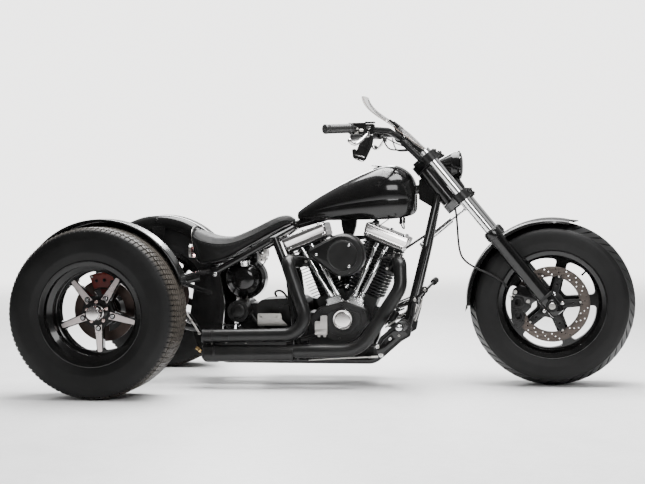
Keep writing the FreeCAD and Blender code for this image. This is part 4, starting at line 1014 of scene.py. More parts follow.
work = bmesh.new()
for lean in (-1, 1):
    for index in range(10):
        half = 76 + index * 0.7
        add_plate(work, [round_box(half, 71, 32), circle(0, 0, 44, 24)], 3.0,
                  bank_place(lean, deck_at + 12 + index * 13.2), 0.5)
    for index in range(6):
        add_plate(work, [round_box(84, 77, 22), circle(0, 0, 40, 24)], 3.2,
                  bank_place(lean, head_at + 6 + index * 12.2), 0.5)
    up = bank_place(lean)
    add_lathe(work,
              [(0, deck_at - 4), (58, deck_at - 4), (60, deck_at - 2), (60, deck_at + 3), (50, deck_at + 5),
               (50, head_at - 6), (60, head_at - 4), (60, head_at), (0, head_at)], up, 48)
    add_loft(work, bank_place(lean, head_at - 1), [(0, 54, 60, 0), (76, 58, 64, 0)], 14)
fins = to_mesh("finned_cylinders", work)
for finish in (engine_black, fin_metal):
    fins.materials.append(finish)
up_ways = [bank_place(lean).to_3x3() @ UP for lean in (-1, 1)]
for face in fins.polygons:
    lean_up = up_ways[0] if face.center.x < crank.x * MM else up_ways[1]
    far_out = (face.center - crank * MM) - lean_up * (face.center - crank * MM).dot(lean_up)
    on_edge = abs(face.normal.dot(lean_up)) < 0.3 and far_out.length > 0.0605
    if on_edge and 0.15 < abs(face.normal.y) < 0.97 and face.normal.dot(far_out) > 0:
        face.material_index = 1
set_up("finned_cylinders", fins, engine_black, stands_for=["cylinders"], smooth=30)

work = bmesh.new()
cover_rows = [(0, 84, 84, 1), (1.5, 84, 84, 1), (8, 84, 84, 0), (9.2, 87.5, 86.5, 0), (22, 89.5, 87, 0),
              (23.4, 88.8, 86.4, 0), (24, 88.2, 85.9, 0), (25, 88.2, 85.9, 0), (25.6, 89, 86.5, 0),
              (29, 91, 87, 0), (44, 92.6, 87, 0), (45, 93.6, 87.6, 0), (46.6, 93.6, 87.6, 0),
              (47.6, 92.8, 87, 0), (54, 93.6, 86.6, 0), (58, 93, 85.4, 0), (60.6, 90.6, 82.8, 0),
              (61.8, 86, 78, 0)]
for lean in (-1, 1):
    add_loft(work, bank_place(lean, rocker_at), cover_rows, 9, -15)
covers = to_mesh("rocker_covers", work)
for finish in (rocker_metal, satin_black):
    covers.materials.append(finish)
set_up("rocker_covers", covers, rocker_metal, stands_for=["rocker_boxes"], smooth=34)
cover_bolts, side_bolts = [], []
for lean in (-1, 1):
    place = bank_place(lean, rocker_at)
    up = place.to_3x3() @ UP
    for across, y in ((-68, -78), (68, -78), (-68, 48), (68, 48), (0, -80), (0, 50)):
        cover_bolts.append((place @ Vector((across, y, 61.6)), up, 6.5))
    for across in (-70, 70):
        side_bolts.append((place @ Vector((across, -101.6, 15)), RIGHT, 4.5))
        side_bolts.append((place @ Vector((across, 71.6, 15)), (0, 1, 0), 4.5))
fasten("rocker_cover_bolts", cap_head, cover_bolts, chrome)
fasten("rocker_side_bolts", cap_head, side_bolts, chrome)

# ---- spark plugs ----------------------------------------------------------
for lean, name in ((-1, "rear"), (1, "front")):
    root = on_bank(lean, head_at + 40, 36 * lean, -66)
    tip = on_bank(lean, head_at + 30, 64 * lean, -112)
    work = bmesh.new()
    place = facing(root, tip - root)
    add_lathe(work, [(0, 0), (9, 0), (9, 8), (6, 10), (6, 13), (5, 14), (5, 20), (0, 20)], place, 6)
    add_lathe(work, [(0, 15), (7.5, 15), (8, 18), (7, 22), (7.5, 34), (6, 40), (4, 43), (0, 43)], place, 18,
              1)
    mesh = to_mesh("spark_plug_" + name, work)
    for finish in (steel, rubber):
        mesh.materials.append(finish)
    set_up("spark_plug_" + name, mesh, steel)

# ---- pushrod tubes and tappet blocks --------------------------------------
tube_rows = ((-1, -12, 354, -30), (-1, 14, 360, 12), (1, 76, 358, -22), (1, 102, 350, 18))
work = bmesh.new()
for lean, x, z, across in tube_rows:
    foot = Vector((x, -112, z))
    top = on_bank(lean, rocker_at, across, -90)
    long = (top - foot).length
    profile = [(0, 0), (12.5, 0), (13, 1), (13, 7), (11.6, 8.5), (11.6, 20), (12.6, 21.5), (12.6, 25),
               (10.4, 27), (9, 28), (9, long * 0.50), (10, long * 0.50 + 1), (10, long * 0.50 + 4),
               (8.8, long * 0.50 + 6), (8.8, long - 34), (10.6, long - 32), (11, long - 30),
               (11, long - 24), (9.6, long - 22), (9.6, long - 1), (0, long - 1)]
    add_lathe(work, profile, facing(foot, top - foot), 28)
piece("pushrod_covers", work, chrome, stands_for=["pushrod_tubes"])
work = bmesh.new()
block_bolts = []
for lean, x, z in ((-1, 2, 332), (1, 82, 328)):
    turn = Matrix.Translation((x, -114, z)) @ Matrix.Rotation(radians(16) * lean, 4, "Y")
    rows = [(-2, 38, 18.5, 0), (4.4, 38, 18.5, 0), (5.2, 37.2, 17.6, 0)]
    for height in (6, 11, 16, 21):
        rows += [(height, 29.5, 15.5, 0), (height + 2.2, 29.5, 15.5, 0),
                 (height + 2.6, 33, 17.6, 0), (height + 4.4, 33, 17.6, 0)]
    rows += [(27, 27, 15, 0), (31, 25, 14, 0)]
    add_loft(work, turn, rows, 5)
    for across in (-33, 33):
        block_bolts.append((turn @ Vector((across, -8, 5.2)), turn.to_3x3() @ UP, 4.5))
        block_bolts.append((turn @ Vector((across * 0.86, -17.4, 2)), RIGHT, 3.2))
piece("tappet_blocks", work, chrome, smooth=24)
fasten("tappet_block_bolts", cap_head, block_bolts, chrome)

# ---- cam cover, points cover and oil pump ---------------------------------
cam_face = -140.0
points_at = Vector((35, cam_face, 269))
turned("points_cover",
       [(0, 12.6), (26, 12.6), (30, 12.2), (32, 11.0), (34, 12.4), (37.5, 12.8), (40.2, 11), (40.8, 8),
        (40.8, 3), (42, 1.4), (42, -1), (0, -1)], facing(points_at, RIGHT), 64, cover_metal, smooth=28)
fasten("points_cover_screws", button_head,
       [(points_at + Vector((31.5 * cos(radians(t)), -11.2, 31.5 * sin(radians(t)))), RIGHT, 3.0)
        for t in (35, 215)], steel)
cam_bolts = [(-76, 264), (-58, 303), (32, 324), (118, 300), (98, 218), (20, 193), (-56, 222)]
fasten("cam_cover_bolts", cap_head, [((x, cam_face - 0.2, z), RIGHT, 5.0) for x, z in cam_bolts],
       satin_black)
inner_ledge = rounded([(-70, 268, 12), (-50, 292, 12), (41, 314, 6), (104, 292, 12), (109, 260, 16),
                       (70, 210, 18), (12, 204, 16), (-50, 232, 14)])
work = bmesh.new()
add_plate(work, [inner_ledge, circle(points_at.x, points_at.z, 45, 48)], 4.5, side_view(cam_face - 1.0),
          1.6)
piece("cam_cover_raised_face", work, engine_black)

work = bmesh.new()
pump_low, pump_high = low("oil_pump"), high("oil_pump")
for index in range(7):
    x = pump_low.x + 3.5 + index * 7.2
    top = pump_high.z - (26 if x < pump_low.x + 24 else 2)
    add_box(work, (x - 2.2, pump_low.y - 2.6, pump_low.z + 26), (x + 2.2, pump_low.y + 2, top), 0.8)
add_box(work, (pump_low.x + 1, pump_low.y - 3.4, pump_low.z + 1),
        (pump_high.x - 1, pump_low.y + 2, pump_low.z + 23), 1.6)
add_rod(work, (pump_low.x + 14, pump_low.y + 12, pump_low.z - 9),
        (pump_low.x + 14, pump_low.y + 12, pump_low.z + 4), 7, 18, 1.2)
add_rod(work, (pump_high.x - 12, pump_low.y + 12, pump_low.z - 9),
        (pump_high.x - 12, pump_low.y + 12, pump_low.z + 4), 7, 18, 1.2)
piece("oil_pump_ribs", work, cast_aluminium)
fasten("oil_pump_bolts", cap_head,
       [((pump_low.x + a, pump_low.y - 3.2, pump_low.z + b), RIGHT, 3.6)
        for a, b in ((6, 12), (25, 12), (44, 12))], steel)

# ---- air cleaner ----------------------------------------------------------
cleaner_at = Vector((46, low("air_cleaner").y, 530))
cleaner_tip = Vector((-76, low("air_cleaner").y, 541))


def teardrop(size, tip_size):
    """Outline in x and z of the cleaner's round body and its narrow tail."""
    way = Vector((cleaner_tip.x - cleaner_at.x, cleaner_tip.z - cleaner_at.z))
    heading, open_angle = atan2(way.y, way.x), asin((size - tip_size) / way.length)
    points = []
    for centre, radius, start, end, steps in (
        (cleaner_at, size, heading + pi / 2 - open_angle, heading + 3 * pi / 2 + open_angle, 54),
        (cleaner_tip, tip_size, heading - pi / 2 + open_angle, heading + pi / 2 - open_angle, 14),
    ):
        for step in range(steps + 1):
            turn = start + (end - start) * step / steps
            points.append((centre.x + radius * cos(turn), centre.z + radius * sin(turn)))
    return points


work = bmesh.new()
outlines = [(-138, 78, 12), (-138.5, 84.5, 18.5), (-141, 86, 20), (-186, 86, 20), (-191, 85, 19),
            (-195.5, 82, 16), (-198, 79.5, 13.5), (-200, 78, 12), (-203.5, 77.2, 11.2),
            (-205.2, 75.6, 9.6), (-205.8, 73.5, 8.2)]
rings = [[work.verts.new((x, y, z)) for x, z in teardrop(size, tip)] for y, size, tip in outlines]
join_rings(work, rings)
work.faces.new(rings[0])
work.faces.new(rings[-1])
piece("air_cleaner_shell", work, satin_black, stands_for=["air_cleaner"], smooth=26)
work = bmesh.new()
add_lathe(work, [(0, 1.2), (52, 1.2), (56, 1.4), (58, 2.6), (60.5, 2.8), (62, 1.4), (62.5, -1), (0, -1)],
          facing(Vector((43, -205.8, 529)), RIGHT), 72)
add_lathe(work, [(73, -12), (76, -12), (76, 8), (73, 8)], facing(Vector((46, -130, 530)), RIGHT), 60,
          closed=True)
piece("air_cleaner_face", work, cleaner_black)
fasten("air_cleaner_screws", button_head,
       [((x, -205.8, z), RIGHT, 6.2) for x, z in ((-61, 533), (71, 571), (70, 486))], chrome)
work = bmesh.new()
add_rod(work, (41, -60, 520), (41, -128, 532), 24, 32, 2)
add_box(work, (8, -86, 496), (76, -50, 560), 5)
add_rod(work, (41, -70, 486), (41, -70, 500), 22, 28, 2)
add_rod(work, (41, -70, 468), (41, -70, 488), 12, 24, 2)
add_rod(work, (76, -68, 540), (92, -68, 540), 8, 18, 1.5)
add_rod(work, (-4, -68, 548), (10, -68, 548), 6, 18, 1.5)
piece("carburettor", work, cast_aluminium)


# ---- shared curves ---------------------------------------------------------
def smooth_through(rows, steps):
    """Rows of numbers brought to a smooth run through every one of them."""
    points = []
    for index in range(len(rows) - 1):
        before, here = rows[max(index - 1, 0)], rows[index]
        there, after = rows[index + 1], rows[min(index + 2, len(rows) - 1)]
        for step in range(steps):
            t = step / steps
            points.append([
                0.5 * (2 * b + (c - a) * t + (2 * a - 5 * b + 4 * c - d) * t * t
                       + (3 * b - a - 3 * c + d) * t ** 3)
                for a, b, c, d in zip(before, here, there, after)])
    points.append(list(rows[-1]))
    return points


def settle(name, mesh, modifiers):
    """Runs modifiers of kind and settings on a mesh, and gives the plain mesh they make."""
    holder = put(name, mesh)
    for kind, settings in modifiers:
        modifier = holder.modifiers.new(kind.lower(), kind)
        for key, value in settings.items():
            setattr(modifier, key, value)
    made = baked(holder)
    bpy.data.objects.remove(holder)
    bpy.data.meshes.remove(mesh)
    return made


# ---- seat ------------------------------------------------------------------
seat_rows = (
    # x, top, drop at the side, bottom, half width
    (-180, 672, 8, 661, 36), (-214, 688, 16, 644, 60), (-263, 671, 18, 618, 80), (-351, 628, 20, 569, 109),
    (-427, 599, 18, 527, 134), (-500, 598, 18, 503, 142), (-560, 618, 22, 503, 130),
    (-590, 636, 24, 562, 98),
)


def seat_ring(x, top, drop, bottom, half, inset=0.0):
    """One cross section of the seat: flat below, full at the sides, and dished a little on top."""
    half -= inset
    side_top = top - drop
    foot = side_top - (side_top - bottom) * 0.3
    corners = [(half - 8, bottom), (half, foot), (half * 0.93, side_top), (half * 0.62, top - drop * 0.2),
               (half * 0.28, top - 1.5), (0, top - 3)]
    right = smooth_through(corners, 5)
    loop = [(y, z) for y, z in right] + [(-y, z) for y, z in reversed(right[:-1])]
    floor = [(-(half - 8) + (2 * half - 16) * (step + 1) / 8, bottom) for step in range(7)]
    return [Vector((x, y, z)) for y, z in loop + floor]


def swollen(mesh, held_below, limit):
    """Fills a closed cushion by air pressure, its base held, and moves no point further than the limit."""
    holder = put("cushion", mesh)
    group = holder.vertex_groups.new(name="held")
    for vert in mesh.vertices:
        x = vert.co.x / MM
        if vert.co.z / MM < held_below(x):
            group.add([vert.index], 1.0, "REPLACE")
    cloth = holder.modifiers.new("cloth", "CLOTH")
    cloth.settings.use_pressure = True
    cloth.settings.uniform_pressure_force = 4.0
    cloth.settings.quality = 5
    cloth.settings.effector_weights.gravity = 0.0
    cloth.settings.vertex_group_mass = "held"
    cloth.point_cache.frame_start = 1
    cloth.point_cache.frame_end = 20
    rest = [vert.co.copy() for vert in mesh.vertices]
    for step in range(1, 21):
        bpy.context.scene.frame_set(step)
    full = bpy.data.meshes.new_from_object(holder.evaluated_get(bpy.context.evaluated_depsgraph_get()))
    for vert, at in zip(full.vertices, rest):
        moved = vert.co - at
        if moved.length > limit * MM:
            vert.co = at + moved.normalized() * limit * MM
    bpy.data.objects.remove(holder)
    bpy.data.meshes.remove(mesh)
    bpy.context.scene.frame_set(1)
    return full


def make_seat():
    rows = smooth_through(seat_rows, 6)
    work = bmesh.new()
    rings = [[work.verts.new(point) for point in seat_ring(*row, inset=5.0)] for row in rows]
    join_rings(work, rings)
    work.faces.new(rings[0])
    work.faces.new(rings[-1])
    mesh = to_mesh("seat_cushion", work)
    mesh = settle("seat_cushion", mesh,
                  [("REMESH", {"mode": "VOXEL", "voxel_size": 0.0055}),
                   ("SMOOTH", {"factor": 0.5, "iterations": 6})])
    base = {round(row[0]): row[3] for row in rows}
    mesh = swollen(mesh, lambda x: min(base.items(), key=lambda pair: abs(pair[0] - x))[1] + 9, 5.5)
    mesh = settle("seat_cushion", mesh, [("SUBSURF", {"levels": 1, "render_levels": 1})])
    mesh.materials.clear()
    cushion = set_up("seat_cushion", mesh, leather, stands_for=["seat"], smooth=60)


make_seat()
welt_rows = smooth_through([(x, top - drop * 1.15, half * 0.985, bottom)
                            for x, top, drop, bottom, half in seat_rows], 4)
for side_name, side in SIDES:
    cable("seat_welt_" + side_name, [(x, side * (y - 2), z - 2) for x, z, y, _ in welt_rows], 2.4, leather,
          steps=3)
    cable("seat_base_" + side_name, [(x, side * (y - 9), z - 2) for x, _, y, z in welt_rows], 3.4,
          gloss_black, steps=3)
back_bend = [(-584, -84, 562), (-590, -92, 600), (-592, -74, 634), (-593, 0, 645), (-592, 74, 634),
             (-590, 92, 600), (-584, 84, 562)]
cable("seat_back_strip", [(x - 4, y, z) for x, y, z in back_bend], 5.0, leather, steps=4)
cable("seat_back_trim", [(x - 8, y * 1.02, z + 2) for x, y, z in back_bend], 1.6, steel, steps=4)
stitches = []
for x, z, y, _ in welt_rows[2:-2]:
    for side in (-1, 1):
        stitches.append(((x, side * (y - 0.5), z - 9), (0, side, 0.25), 1.3))
fasten("seat_stitches", button_head, stitches, stitch_thread)

# ---- tail lamp --------------------------------------------------------------
lamp_at = Vector((low("tail_lamp").x, 0, 540))
turned("tail_lamp_bezel", [(26.4, 12), (28, 12), (28.4, 9), (28, 4), (27.4, 2.4), (26.3, 3)],
       facing(lamp_at + Vector((14, 0, 0)), (-1, 0, 0)), 48, steel, closed=True)

# ---- fuel tank fittings -----------------------------------------------------
tank_top = high("fuel_tank").z
work = bmesh.new()
cap_place = facing(Vector((176, 0, tank_top - 8)), (0.12, 0, 1))
add_lathe(work, [(0, 0), (37, 0), (38, 1), (37, 3), (33, 4.6), (31, 4.0), (29, 4.8), (12, 5.6), (0, 5.8)],
          cap_place, 48)
piece("fuel_cap", work, gloss_black)
fasten("fuel_cap_screws", button_head,
       [(cap_place @ Vector((34 * cos(t), 34 * sin(t), 4.2)), cap_place.to_3x3() @ UP, 2.2)
        for t in (radians(60 * k) for k in range(6))], steel)
rods("tank_front_mounts",
     [((264, -58, 652), (264, -58, 676), 6, 16, 1.4), ((277, -58, 652), (277, -58, 676), 5, 16, 1.4),
      ((264, -58, 655), (264, -74, 655), 7, 16, 1.4)], satin_black)
work = bmesh.new()
add_rod(work, (163, -60, 648), (163, -60, 674), 8, 18, 1.4)
add_box(work, (150, -70, 650), (177, -50, 664), 3)
add_rod(work, (163, -72, 656), (163, -84, 656), 5, 16, 1.2)
add_box(work, (156, -90, 653), (172, -84, 659), 1.5)
piece("fuel_tap", work, satin_black)
cable("fuel_line",
      [(163, -60, 650), (160, -64, 628), (130, -72, 606), (98, -72, 592), (80, -70, 566), (82, -68, 548)],
      3.2, rubber)
cable("crossover_line", [(264, -58, 652), (268, -44, 634), (272, 0, 628), (268, 44, 634), (262, 58, 660)],
      3.0, rubber)
cable("choke_line", [(92, -68, 540), (120, -72, 566), (140, -66, 618), (170, -40, 640), (210, -20, 668)],
      2.0, rubber)

# ---- oil tank cap, lines and fittings ---------------------------------------
filler = Vector((-374, -90, 487))
turned("oil_cap",
       [(0, 0), (20.5, 0), (21.5, 2), (21.5, 4), (19.5, 5), (19.5, 8), (21.2, 9), (21.2, 22), (19.4, 24.6),
        (10, 25.6), (0, 26)], facing(filler, (0, -0.3, 1)), 40, chrome)
cap_turn = facing(filler, (0, -0.3, 1))
knurls = [(cap_turn @ Vector((21.2 * cos(t), 21.2 * sin(t), 15.5)),
           cap_turn.to_3x3() @ Vector((cos(t), sin(t), 0)), 1.5)
          for t in (radians(12 * k) for k in range(30))]
fasten("oil_cap_knurling", button_head, knurls, chrome)
rods("oil_tank_spigots",
     [((-378, -44, 344), (-372, -56, 326), 8, 18, 1.5), ((-404, -40, 342), (-408, -52, 324), 8, 18, 1.5)],
     steel)
cable("oil_feed_line",
      [(-372, -56, 330), (-368, -62, 306), (-330, -84, 246), (-240, -96, 192), (-140, -84, 176),
       (-70, -78, 214)], 6.0, rubber)
cable("oil_return_line",
      [(-408, -52, 326), (-414, -66, 300), (-392, -108, 214), (-300, -112, 178), (-160, -96, 164),
       (-58, -80, 204)], 6.0, rubber)
clips = [((-371, -58, 322), (0, 0, -1), 9.5), ((-409, -54, 318), (0, 0, -1), 9.5)]
fasten("hose_clips", washer, clips, steel)
cable("wiring_loom", [(-420, 60, 566), (-350, -30, 556), (-318, -62, 540), (-300, -66, 512)], 4.0, rubber)
cable("loom_branch",
      [(-330, -60, 548), (-300, -80, 530), (-286, -84, 506), (-300, -86, 488), (-316, -74, 470)], 2.4,
      rubber)
work = bmesh.new()
add_box(work, (-318, -92, 500), (-290, -70, 530), 2.5)
add_box(work, (-300, -86, 520), (-276, -74, 552), 2.0)
add_rod(work, (-286, -84, 512), (-286, -98, 512), 7, 16, 1.4)
piece("ignition_switch", work, cast_aluminium, slot="steel")
fasten("switch_screws", cap_head, [((-304, -92, 522), RIGHT, 4.0), ((-304, -92, 507), RIGHT, 4.0)], chrome,
       slot="steel")


# ---- exhaust clamps, shield screws and open ends ----------------------------
tail_x = low("exhausts").x
work = bmesh.new()
for z, y in ((209, -240), (146, -238)):
    add_lathe(work, [(27.4, 0), (28.6, 1.5), (28.6, 6), (27.2, 8), (23.8, 8), (23.2, 0)],
              facing(Vector((tail_x - 0.5, y, z)), AHEAD), 48, closed=True)
    add_lathe(work, [(24.6, 4), (24.6, 110), (0, 110)], facing(Vector((tail_x, y, z)), AHEAD), 36)
set_up("exhaust_ends", to_mesh("exhaust_ends", work, turn_out=False), exhaust_black)
work = bmesh.new()
clamp_screws = []
for x, y, z, radius in ((-470, -237.4, 146.3, 31.2), (-480, -239.9, 209.1, 27.8)):
    add_lathe(work, [(radius, -5), (radius + 1.3, -4), (radius + 1.3, 4), (radius, 5), (radius - 1, 0)],
              facing(Vector((x, y, z)), AHEAD), 48, closed=True)
    clamp_screws.append(((x, y - radius * 0.25, z - radius - 1.5), (0, -0.4, -1), 5.0))
for x, z in ((-422, 183), (-342, 183)):
    clamp_screws.append(((x, -247, z + 1.5), (0, -0.2, -1), 4.2))
piece("exhaust_clamps", work, exhaust_black)
fasten("exhaust_clamp_screws", hex_head, clamp_screws, steel)
work = bmesh.new()
add_plate(work, [rounded([(-505, 166, 4), (-180, 166, 6), (-180, 190, 6), (-505, 190, 4)])], 4,
          side_view(-236), 1)
piece("exhaust_bracket", work, exhaust_black)
work = bmesh.new()
flange_nuts = []
for x, z in ((-150, 500), (236, 470)):
    add_plate(work,
              [rounded([(x - 36, z - 22, 14), (x + 36, z - 22, 14), (x + 36, z + 22, 14),
                        (x - 36, z + 22, 14)])], 6, side_view(-80), 1.2)
    for across in (-27, 27):
        flange_nuts.append(((x + across, -83, z), RIGHT, 6.0))
piece("exhaust_flanges", work, exhaust_black)
fasten("exhaust_flange_nuts", hex_head, flange_nuts, steel)

# ---- brake rod, stay rods and their fittings --------------------------------
rods("brake_rod",
     [((-96, -206, 112), (146, -162, 120.4), 2.4, 14), ((150, -163, 120.4), (178, -157, 121.6), 5.0, 18),
      ((140, -165, 120), (151, -163, 120.4), 4.2, 6, 0.8)], steel)
work = bmesh.new()
for side_name, side in SIDES:
    add_rod(work, (-609, side * 141, 291), (-554, side * 140, 205), 4.2, 14)
    for x, z in ((-592, 264), (-558, 211)):
        add_rod(work, (x, side * 134, z), (x, side * 147, z), 6.0, 6, 1.0)
piece("axle_stay_rods", work, steel)
rods("brake_line_union",
     [((-572, -138, 152), (-548, -150, 136), 6.5, 6, 1.2),
      ((-560, -144, 146), (-552, -162, 140), 5.0, 16, 1.0)], brass)
fasten("rear_axle_adjusters", dome_nut,
       [((-493, -123, 452), RIGHT, 9.0), ((-493, 123, 452), (0, 1, 0), 9.0)], chrome)

# ---- forward controls -------------------------------------------------------
cradle_spread = 120
controls, bushes, plates = bmesh.new(), bmesh.new(), bmesh.new()
bolts, washers, ends = [], [], []
for side_name, side in SIDES:
    for start, end, radius in (((300, 238), (332, 330), 4.4), ((205, 236), (281, 291), 3.6)):
        add_rod(bushes, (start[0], side * 128, start[1]), (end[0], side * 128, end[1]), radius, 14)
    for start, end in (((239, 295), (281, 312)), ((235, 320), (290, 343))):
        add_rod(controls, (start[0], side * 110, start[1]), (end[0], side * 110, end[1]), 3.4, 14)
    face = side * 146.5
    for x, z, radius in ((177, 160, 9.5), (188, 128, 9.5), (262, 206, 8.0), (226, 192, 6.5)):
        washers.append(((x, face, z), (0, side, 0), radius))
        bolts.append(((x, face + side * 1.2, z), (0, side, 0), radius * 0.62))
    add_plate(plates,
              [rounded([(172, 132, 6), (196, 132, 8), (262, 190, 10), (296, 208, 10), (300, 232, 10),
                        (286, 248, 10), (250, 236, 14), (196, 192, 12), (172, 150, 8)]),
               rounded([(206, 172, 5), (240, 198, 5), (232, 212, 5), (202, 186, 5)])], 5,
              side_view(side * 148), 1.2)
    add_rod(controls, (281, side * 150, 246.6), (281, side * 158, 247), 26, 30, 3)
    peg_from = Vector((281, side * (cradle_spread + 14), 246))
    peg_way = Vector((0, side * cos(radians(3)), sin(radians(3))))
    for step in range(9):
        at = peg_from + peg_way * (58 + step * 15)
        add_lathe(controls, [(18.2, -4.2), (20.2, -3), (20.2, 3), (18.2, 4.2), (17, 0)],
                  facing(at, (0, side, 0.052)), 26, closed=True)
    tip = peg_from + peg_way * 196
    ends.append((tip, (0, side, 0.05), 13.0))
    for step in range(5):
        add_lathe(controls, [(12.2, -3.6), (13.8, -2.6), (13.8, 2.6), (12.2, 3.6), (11, 0)],
                  facing(Vector((372, side * 222, 394)).lerp(Vector((378, side * 300, 400)),
                                                             0.14 + step * 0.18), (0.07, side, 0.07)), 22,
                  closed=True)
    bolts.append(((378, side * 300, 400), (0.07, side, 0.07), 6.0))
    bolts.append(((329, side * 182, 352), (0, side, 0), 7.0))
piece("foot_peg_rubbers", controls, rubber)
piece("control_linkage", bushes, steel)
piece("control_side_plates", plates, gloss_black)
fasten("control_washers", washer, washers, chrome)
fasten("control_bolts", cap_head, bolts, steel)
fasten("peg_end_caps", dome_nut, ends, chrome)
work = bmesh.new()
add_rod(work, (226, -108, 262), (250, -108, 300), 15, 24, 3)
add_rod(work, (250, -108, 300), (258, -108, 313), 8, 18, 2)
add_box(work, (214, -120, 236), (246, -98, 258), 4)
piece("rear_master_cylinder", work, satin_black)

# ---- transmission, bracket and engine-side details --------------------------
bracket_bolts = [((x, low("transmission_bracket").y + 1.5, 281), (0, -1, 0.1), 5.5) for x in (-298, -235)]
fasten("bracket_screws", cap_head, bracket_bolts, steel)
gear_bolts = [(-205 + 50 * cos(radians(t)), -79.5, 290 + 50 * sin(radians(t))) for t in range(20, 360, 40)]
fasten("gearbox_cover_bolts", cap_head, [(at, RIGHT, 4.6) for at in gear_bolts], satin_black)
pulley = [(-396 + 36 * cos(radians(t)), -140.2, 300 + 36 * sin(radians(t))) for t in range(0, 360, 60)]
fasten("end_cover_bolts", cap_head, [(at, RIGHT, 4.0) for at in pulley], satin_black)
work = bmesh.new()
add_lathe(work, [(0, 2), (24, 2), (28, 0.6), (30.5, -1), (0, -1)], facing(Vector((-396, -148, 300)), RIGHT),
          40)
add_rod(work, (-470, -92, 244), (-470, -112, 244), 11, 6, 1.5)
add_rod(work, (-452, -96, 238), (-440, -112, 232), 5, 16, 1.2)
piece("gearbox_end_cap", work, satin_black)
fasten("gearbox_drain_and_plug", hex_head,
       [((-470, -112, 244), RIGHT, 9.0), ((-404, -112, 252), RIGHT, 6.5), ((-396, -112, 238), RIGHT, 5.0)],
       chrome)
cable("shift_cable",
      [(-470, -108, 244), (-430, -116, 236), (-404, -114, 252), (-372, -104, 262), (-340, -92, 300)], 3.0,
      rubber)
cable("breather_hose",
      [(-250, -60, 356), (-258, -78, 372), (-236, -84, 384), (-214, -76, 372), (-206, -60, 350)], 4.5,
      rubber)

# ---- primary cover on the left ----------------------------------------------
primary_face = high("primary_cover").y
clutch_at, timing_at = Vector((-250, primary_face, 218)), Vector((78, primary_face, 210))
work = bmesh.new()
add_lathe(work, [(0, 3.4), (64, 3.4), (68, 2.2), (70, 4.0), (74, 4.2), (76, 2), (76.5, -3), (0, -3)],
          facing(clutch_at, ACROSS), 56)
add_lathe(work, [(0, 2.6), (34, 2.6), (37, 1.6), (38.5, 2.8), (41, 2.6), (42, -2), (0, -2)],
          facing(timing_at, ACROSS), 48)
piece("primary_covers", work, cover_metal, smooth=26)
derby = [(-250 + 71 * cos(radians(t)), primary_face + 4, 218 + 71 * sin(radians(t)))
         for t in range(18, 378, 72)]
fasten("clutch_cover_screws", button_head, [(at, (0, 1, 0), 4.0) for at in derby], steel)
fasten("timing_cover_screws", button_head,
       [((78 + 38 * cos(radians(t)), primary_face + 2.6, 210 + 38 * sin(radians(t))), (0, 1, 0), 3.0)
        for t in (45, 225)], steel)

# ---- rear axle housing ------------------------------------------------------
housing_bolts = []
for side in (-1, 1):
    for index in range(10):
        a, b = polar(97, index * 36 + 12)
        housing_bolts.append((rear_axle + Vector((a, side * 34, b)), (0, side, 0), 5.5))
    for index in range(6):
        a, b = polar(53, index * 60 + 30)
        housing_bolts.append((rear_axle + Vector((a, side * 403, b)), (0, -side, 0), 6.0))
fasten("axle_housing_bolts", hex_head, housing_bolts, steel)
work = bmesh.new()
for index in range(8):
    a, b = polar(100, index * 45)
    place = Matrix.Translation(rear_axle) @ Matrix.Rotation(radians(-index * 45), 4, "Y")
    add_box(work, (86, -26, -3), (103.5, 26, 3), 1.4, place)
piece("axle_housing_ribs", work, engine_black)
fasten("axle_fill_plug", hex_head, [(rear_axle + Vector((-103, 0, 12)), (-1, 0, 0), 10.0)], chrome)
fender_bolts = []
for side in (-1, 1):
    for t in (40, 92, 126):
        a, b = polar(318, t)
        fender_bolts.append((rear_axle + Vector((a + 2, side * (rear_half_track - 131.4), b + 17.5)),
                             (0, -side, 0), 6.5))
fasten("fender_bolts", button_head, fender_bolts, satin_black)

# ---- coil and plug leads between the cylinders ---------------------------------------------
work = bmesh.new()
add_box(work, (2, 8, 372), (80, 62, 450), 8)
for index in range(5):
    add_box(work, (6 + index * 16, -4, 380), (12 + index * 16, 10, 446), 1.6)
add_rod(work, (22, 30, 448), (14, 20, 474), 9, 20, 2)
add_rod(work, (60, 30, 448), (70, 20, 474), 9, 20, 2)
piece("ignition_coil", work, satin_black)
for lean, name in ((-1, "rear"), (1, "front")):
    tip = on_bank(lean, head_at + 27, 66 * lean, -116)
    top = Vector((14 if lean < 0 else 70, 20, 472))
    cable("plug_lead_" + name,
          [top, top + Vector((lean * 18, -20, 26)), top + Vector((lean * 50, -84, 22)),
           tip + Vector((lean * 10, -20, 30)), tip + Vector((lean * 6, -8, -2)), tip], 4.0, rubber)
fasten("oil_line_nut", dome_nut, [((41, -62, 398), RIGHT, 11.0)], chrome)


# ---- fork sliders, with the caliper's lug on the right leg -------------------
slider_profile = [(0, -42), (20, -42), (26, -40), (29, -36), (30, -28), (30, 342), (31, 344.5), (33.4, 346),
                  (34, 348), (34, 373), (33, 375.4), (31, 376), (21, 376), (21, 362), (0, 362)]
work = bmesh.new()
for side in (-1, 1):
    leg = on_fork(0, 0, side * tube_spread)
    add_lathe(work, slider_profile, facing(leg, fork_up), 56)
    add_lathe(work, [(0, -30), (21, -30), (24, -27), (24, 29), (22.5, 31), (16, 31), (16, 26), (0, 26)],
              facing(leg, (0, side, 0)), 40)
    add_box(work, (-12, -32.6, 14), (12, -27, 44), 2, facing(leg, fork_up))
lug = rounded([(708, 366, 10), (714, 392, 12), (742, 407, 12), (806, 392, 2), (806, 346, 4), (780, 328, 9),
               (760, 336, 9), (752, 360, 10), (730, 364, 8)])
add_plate(work, [lug], 11, side_view(-tube_spread + 27.5), 2)
piece("slider_legs", work, slider_black, "fork", stands_for=["fork_sliders"], smooth=30)
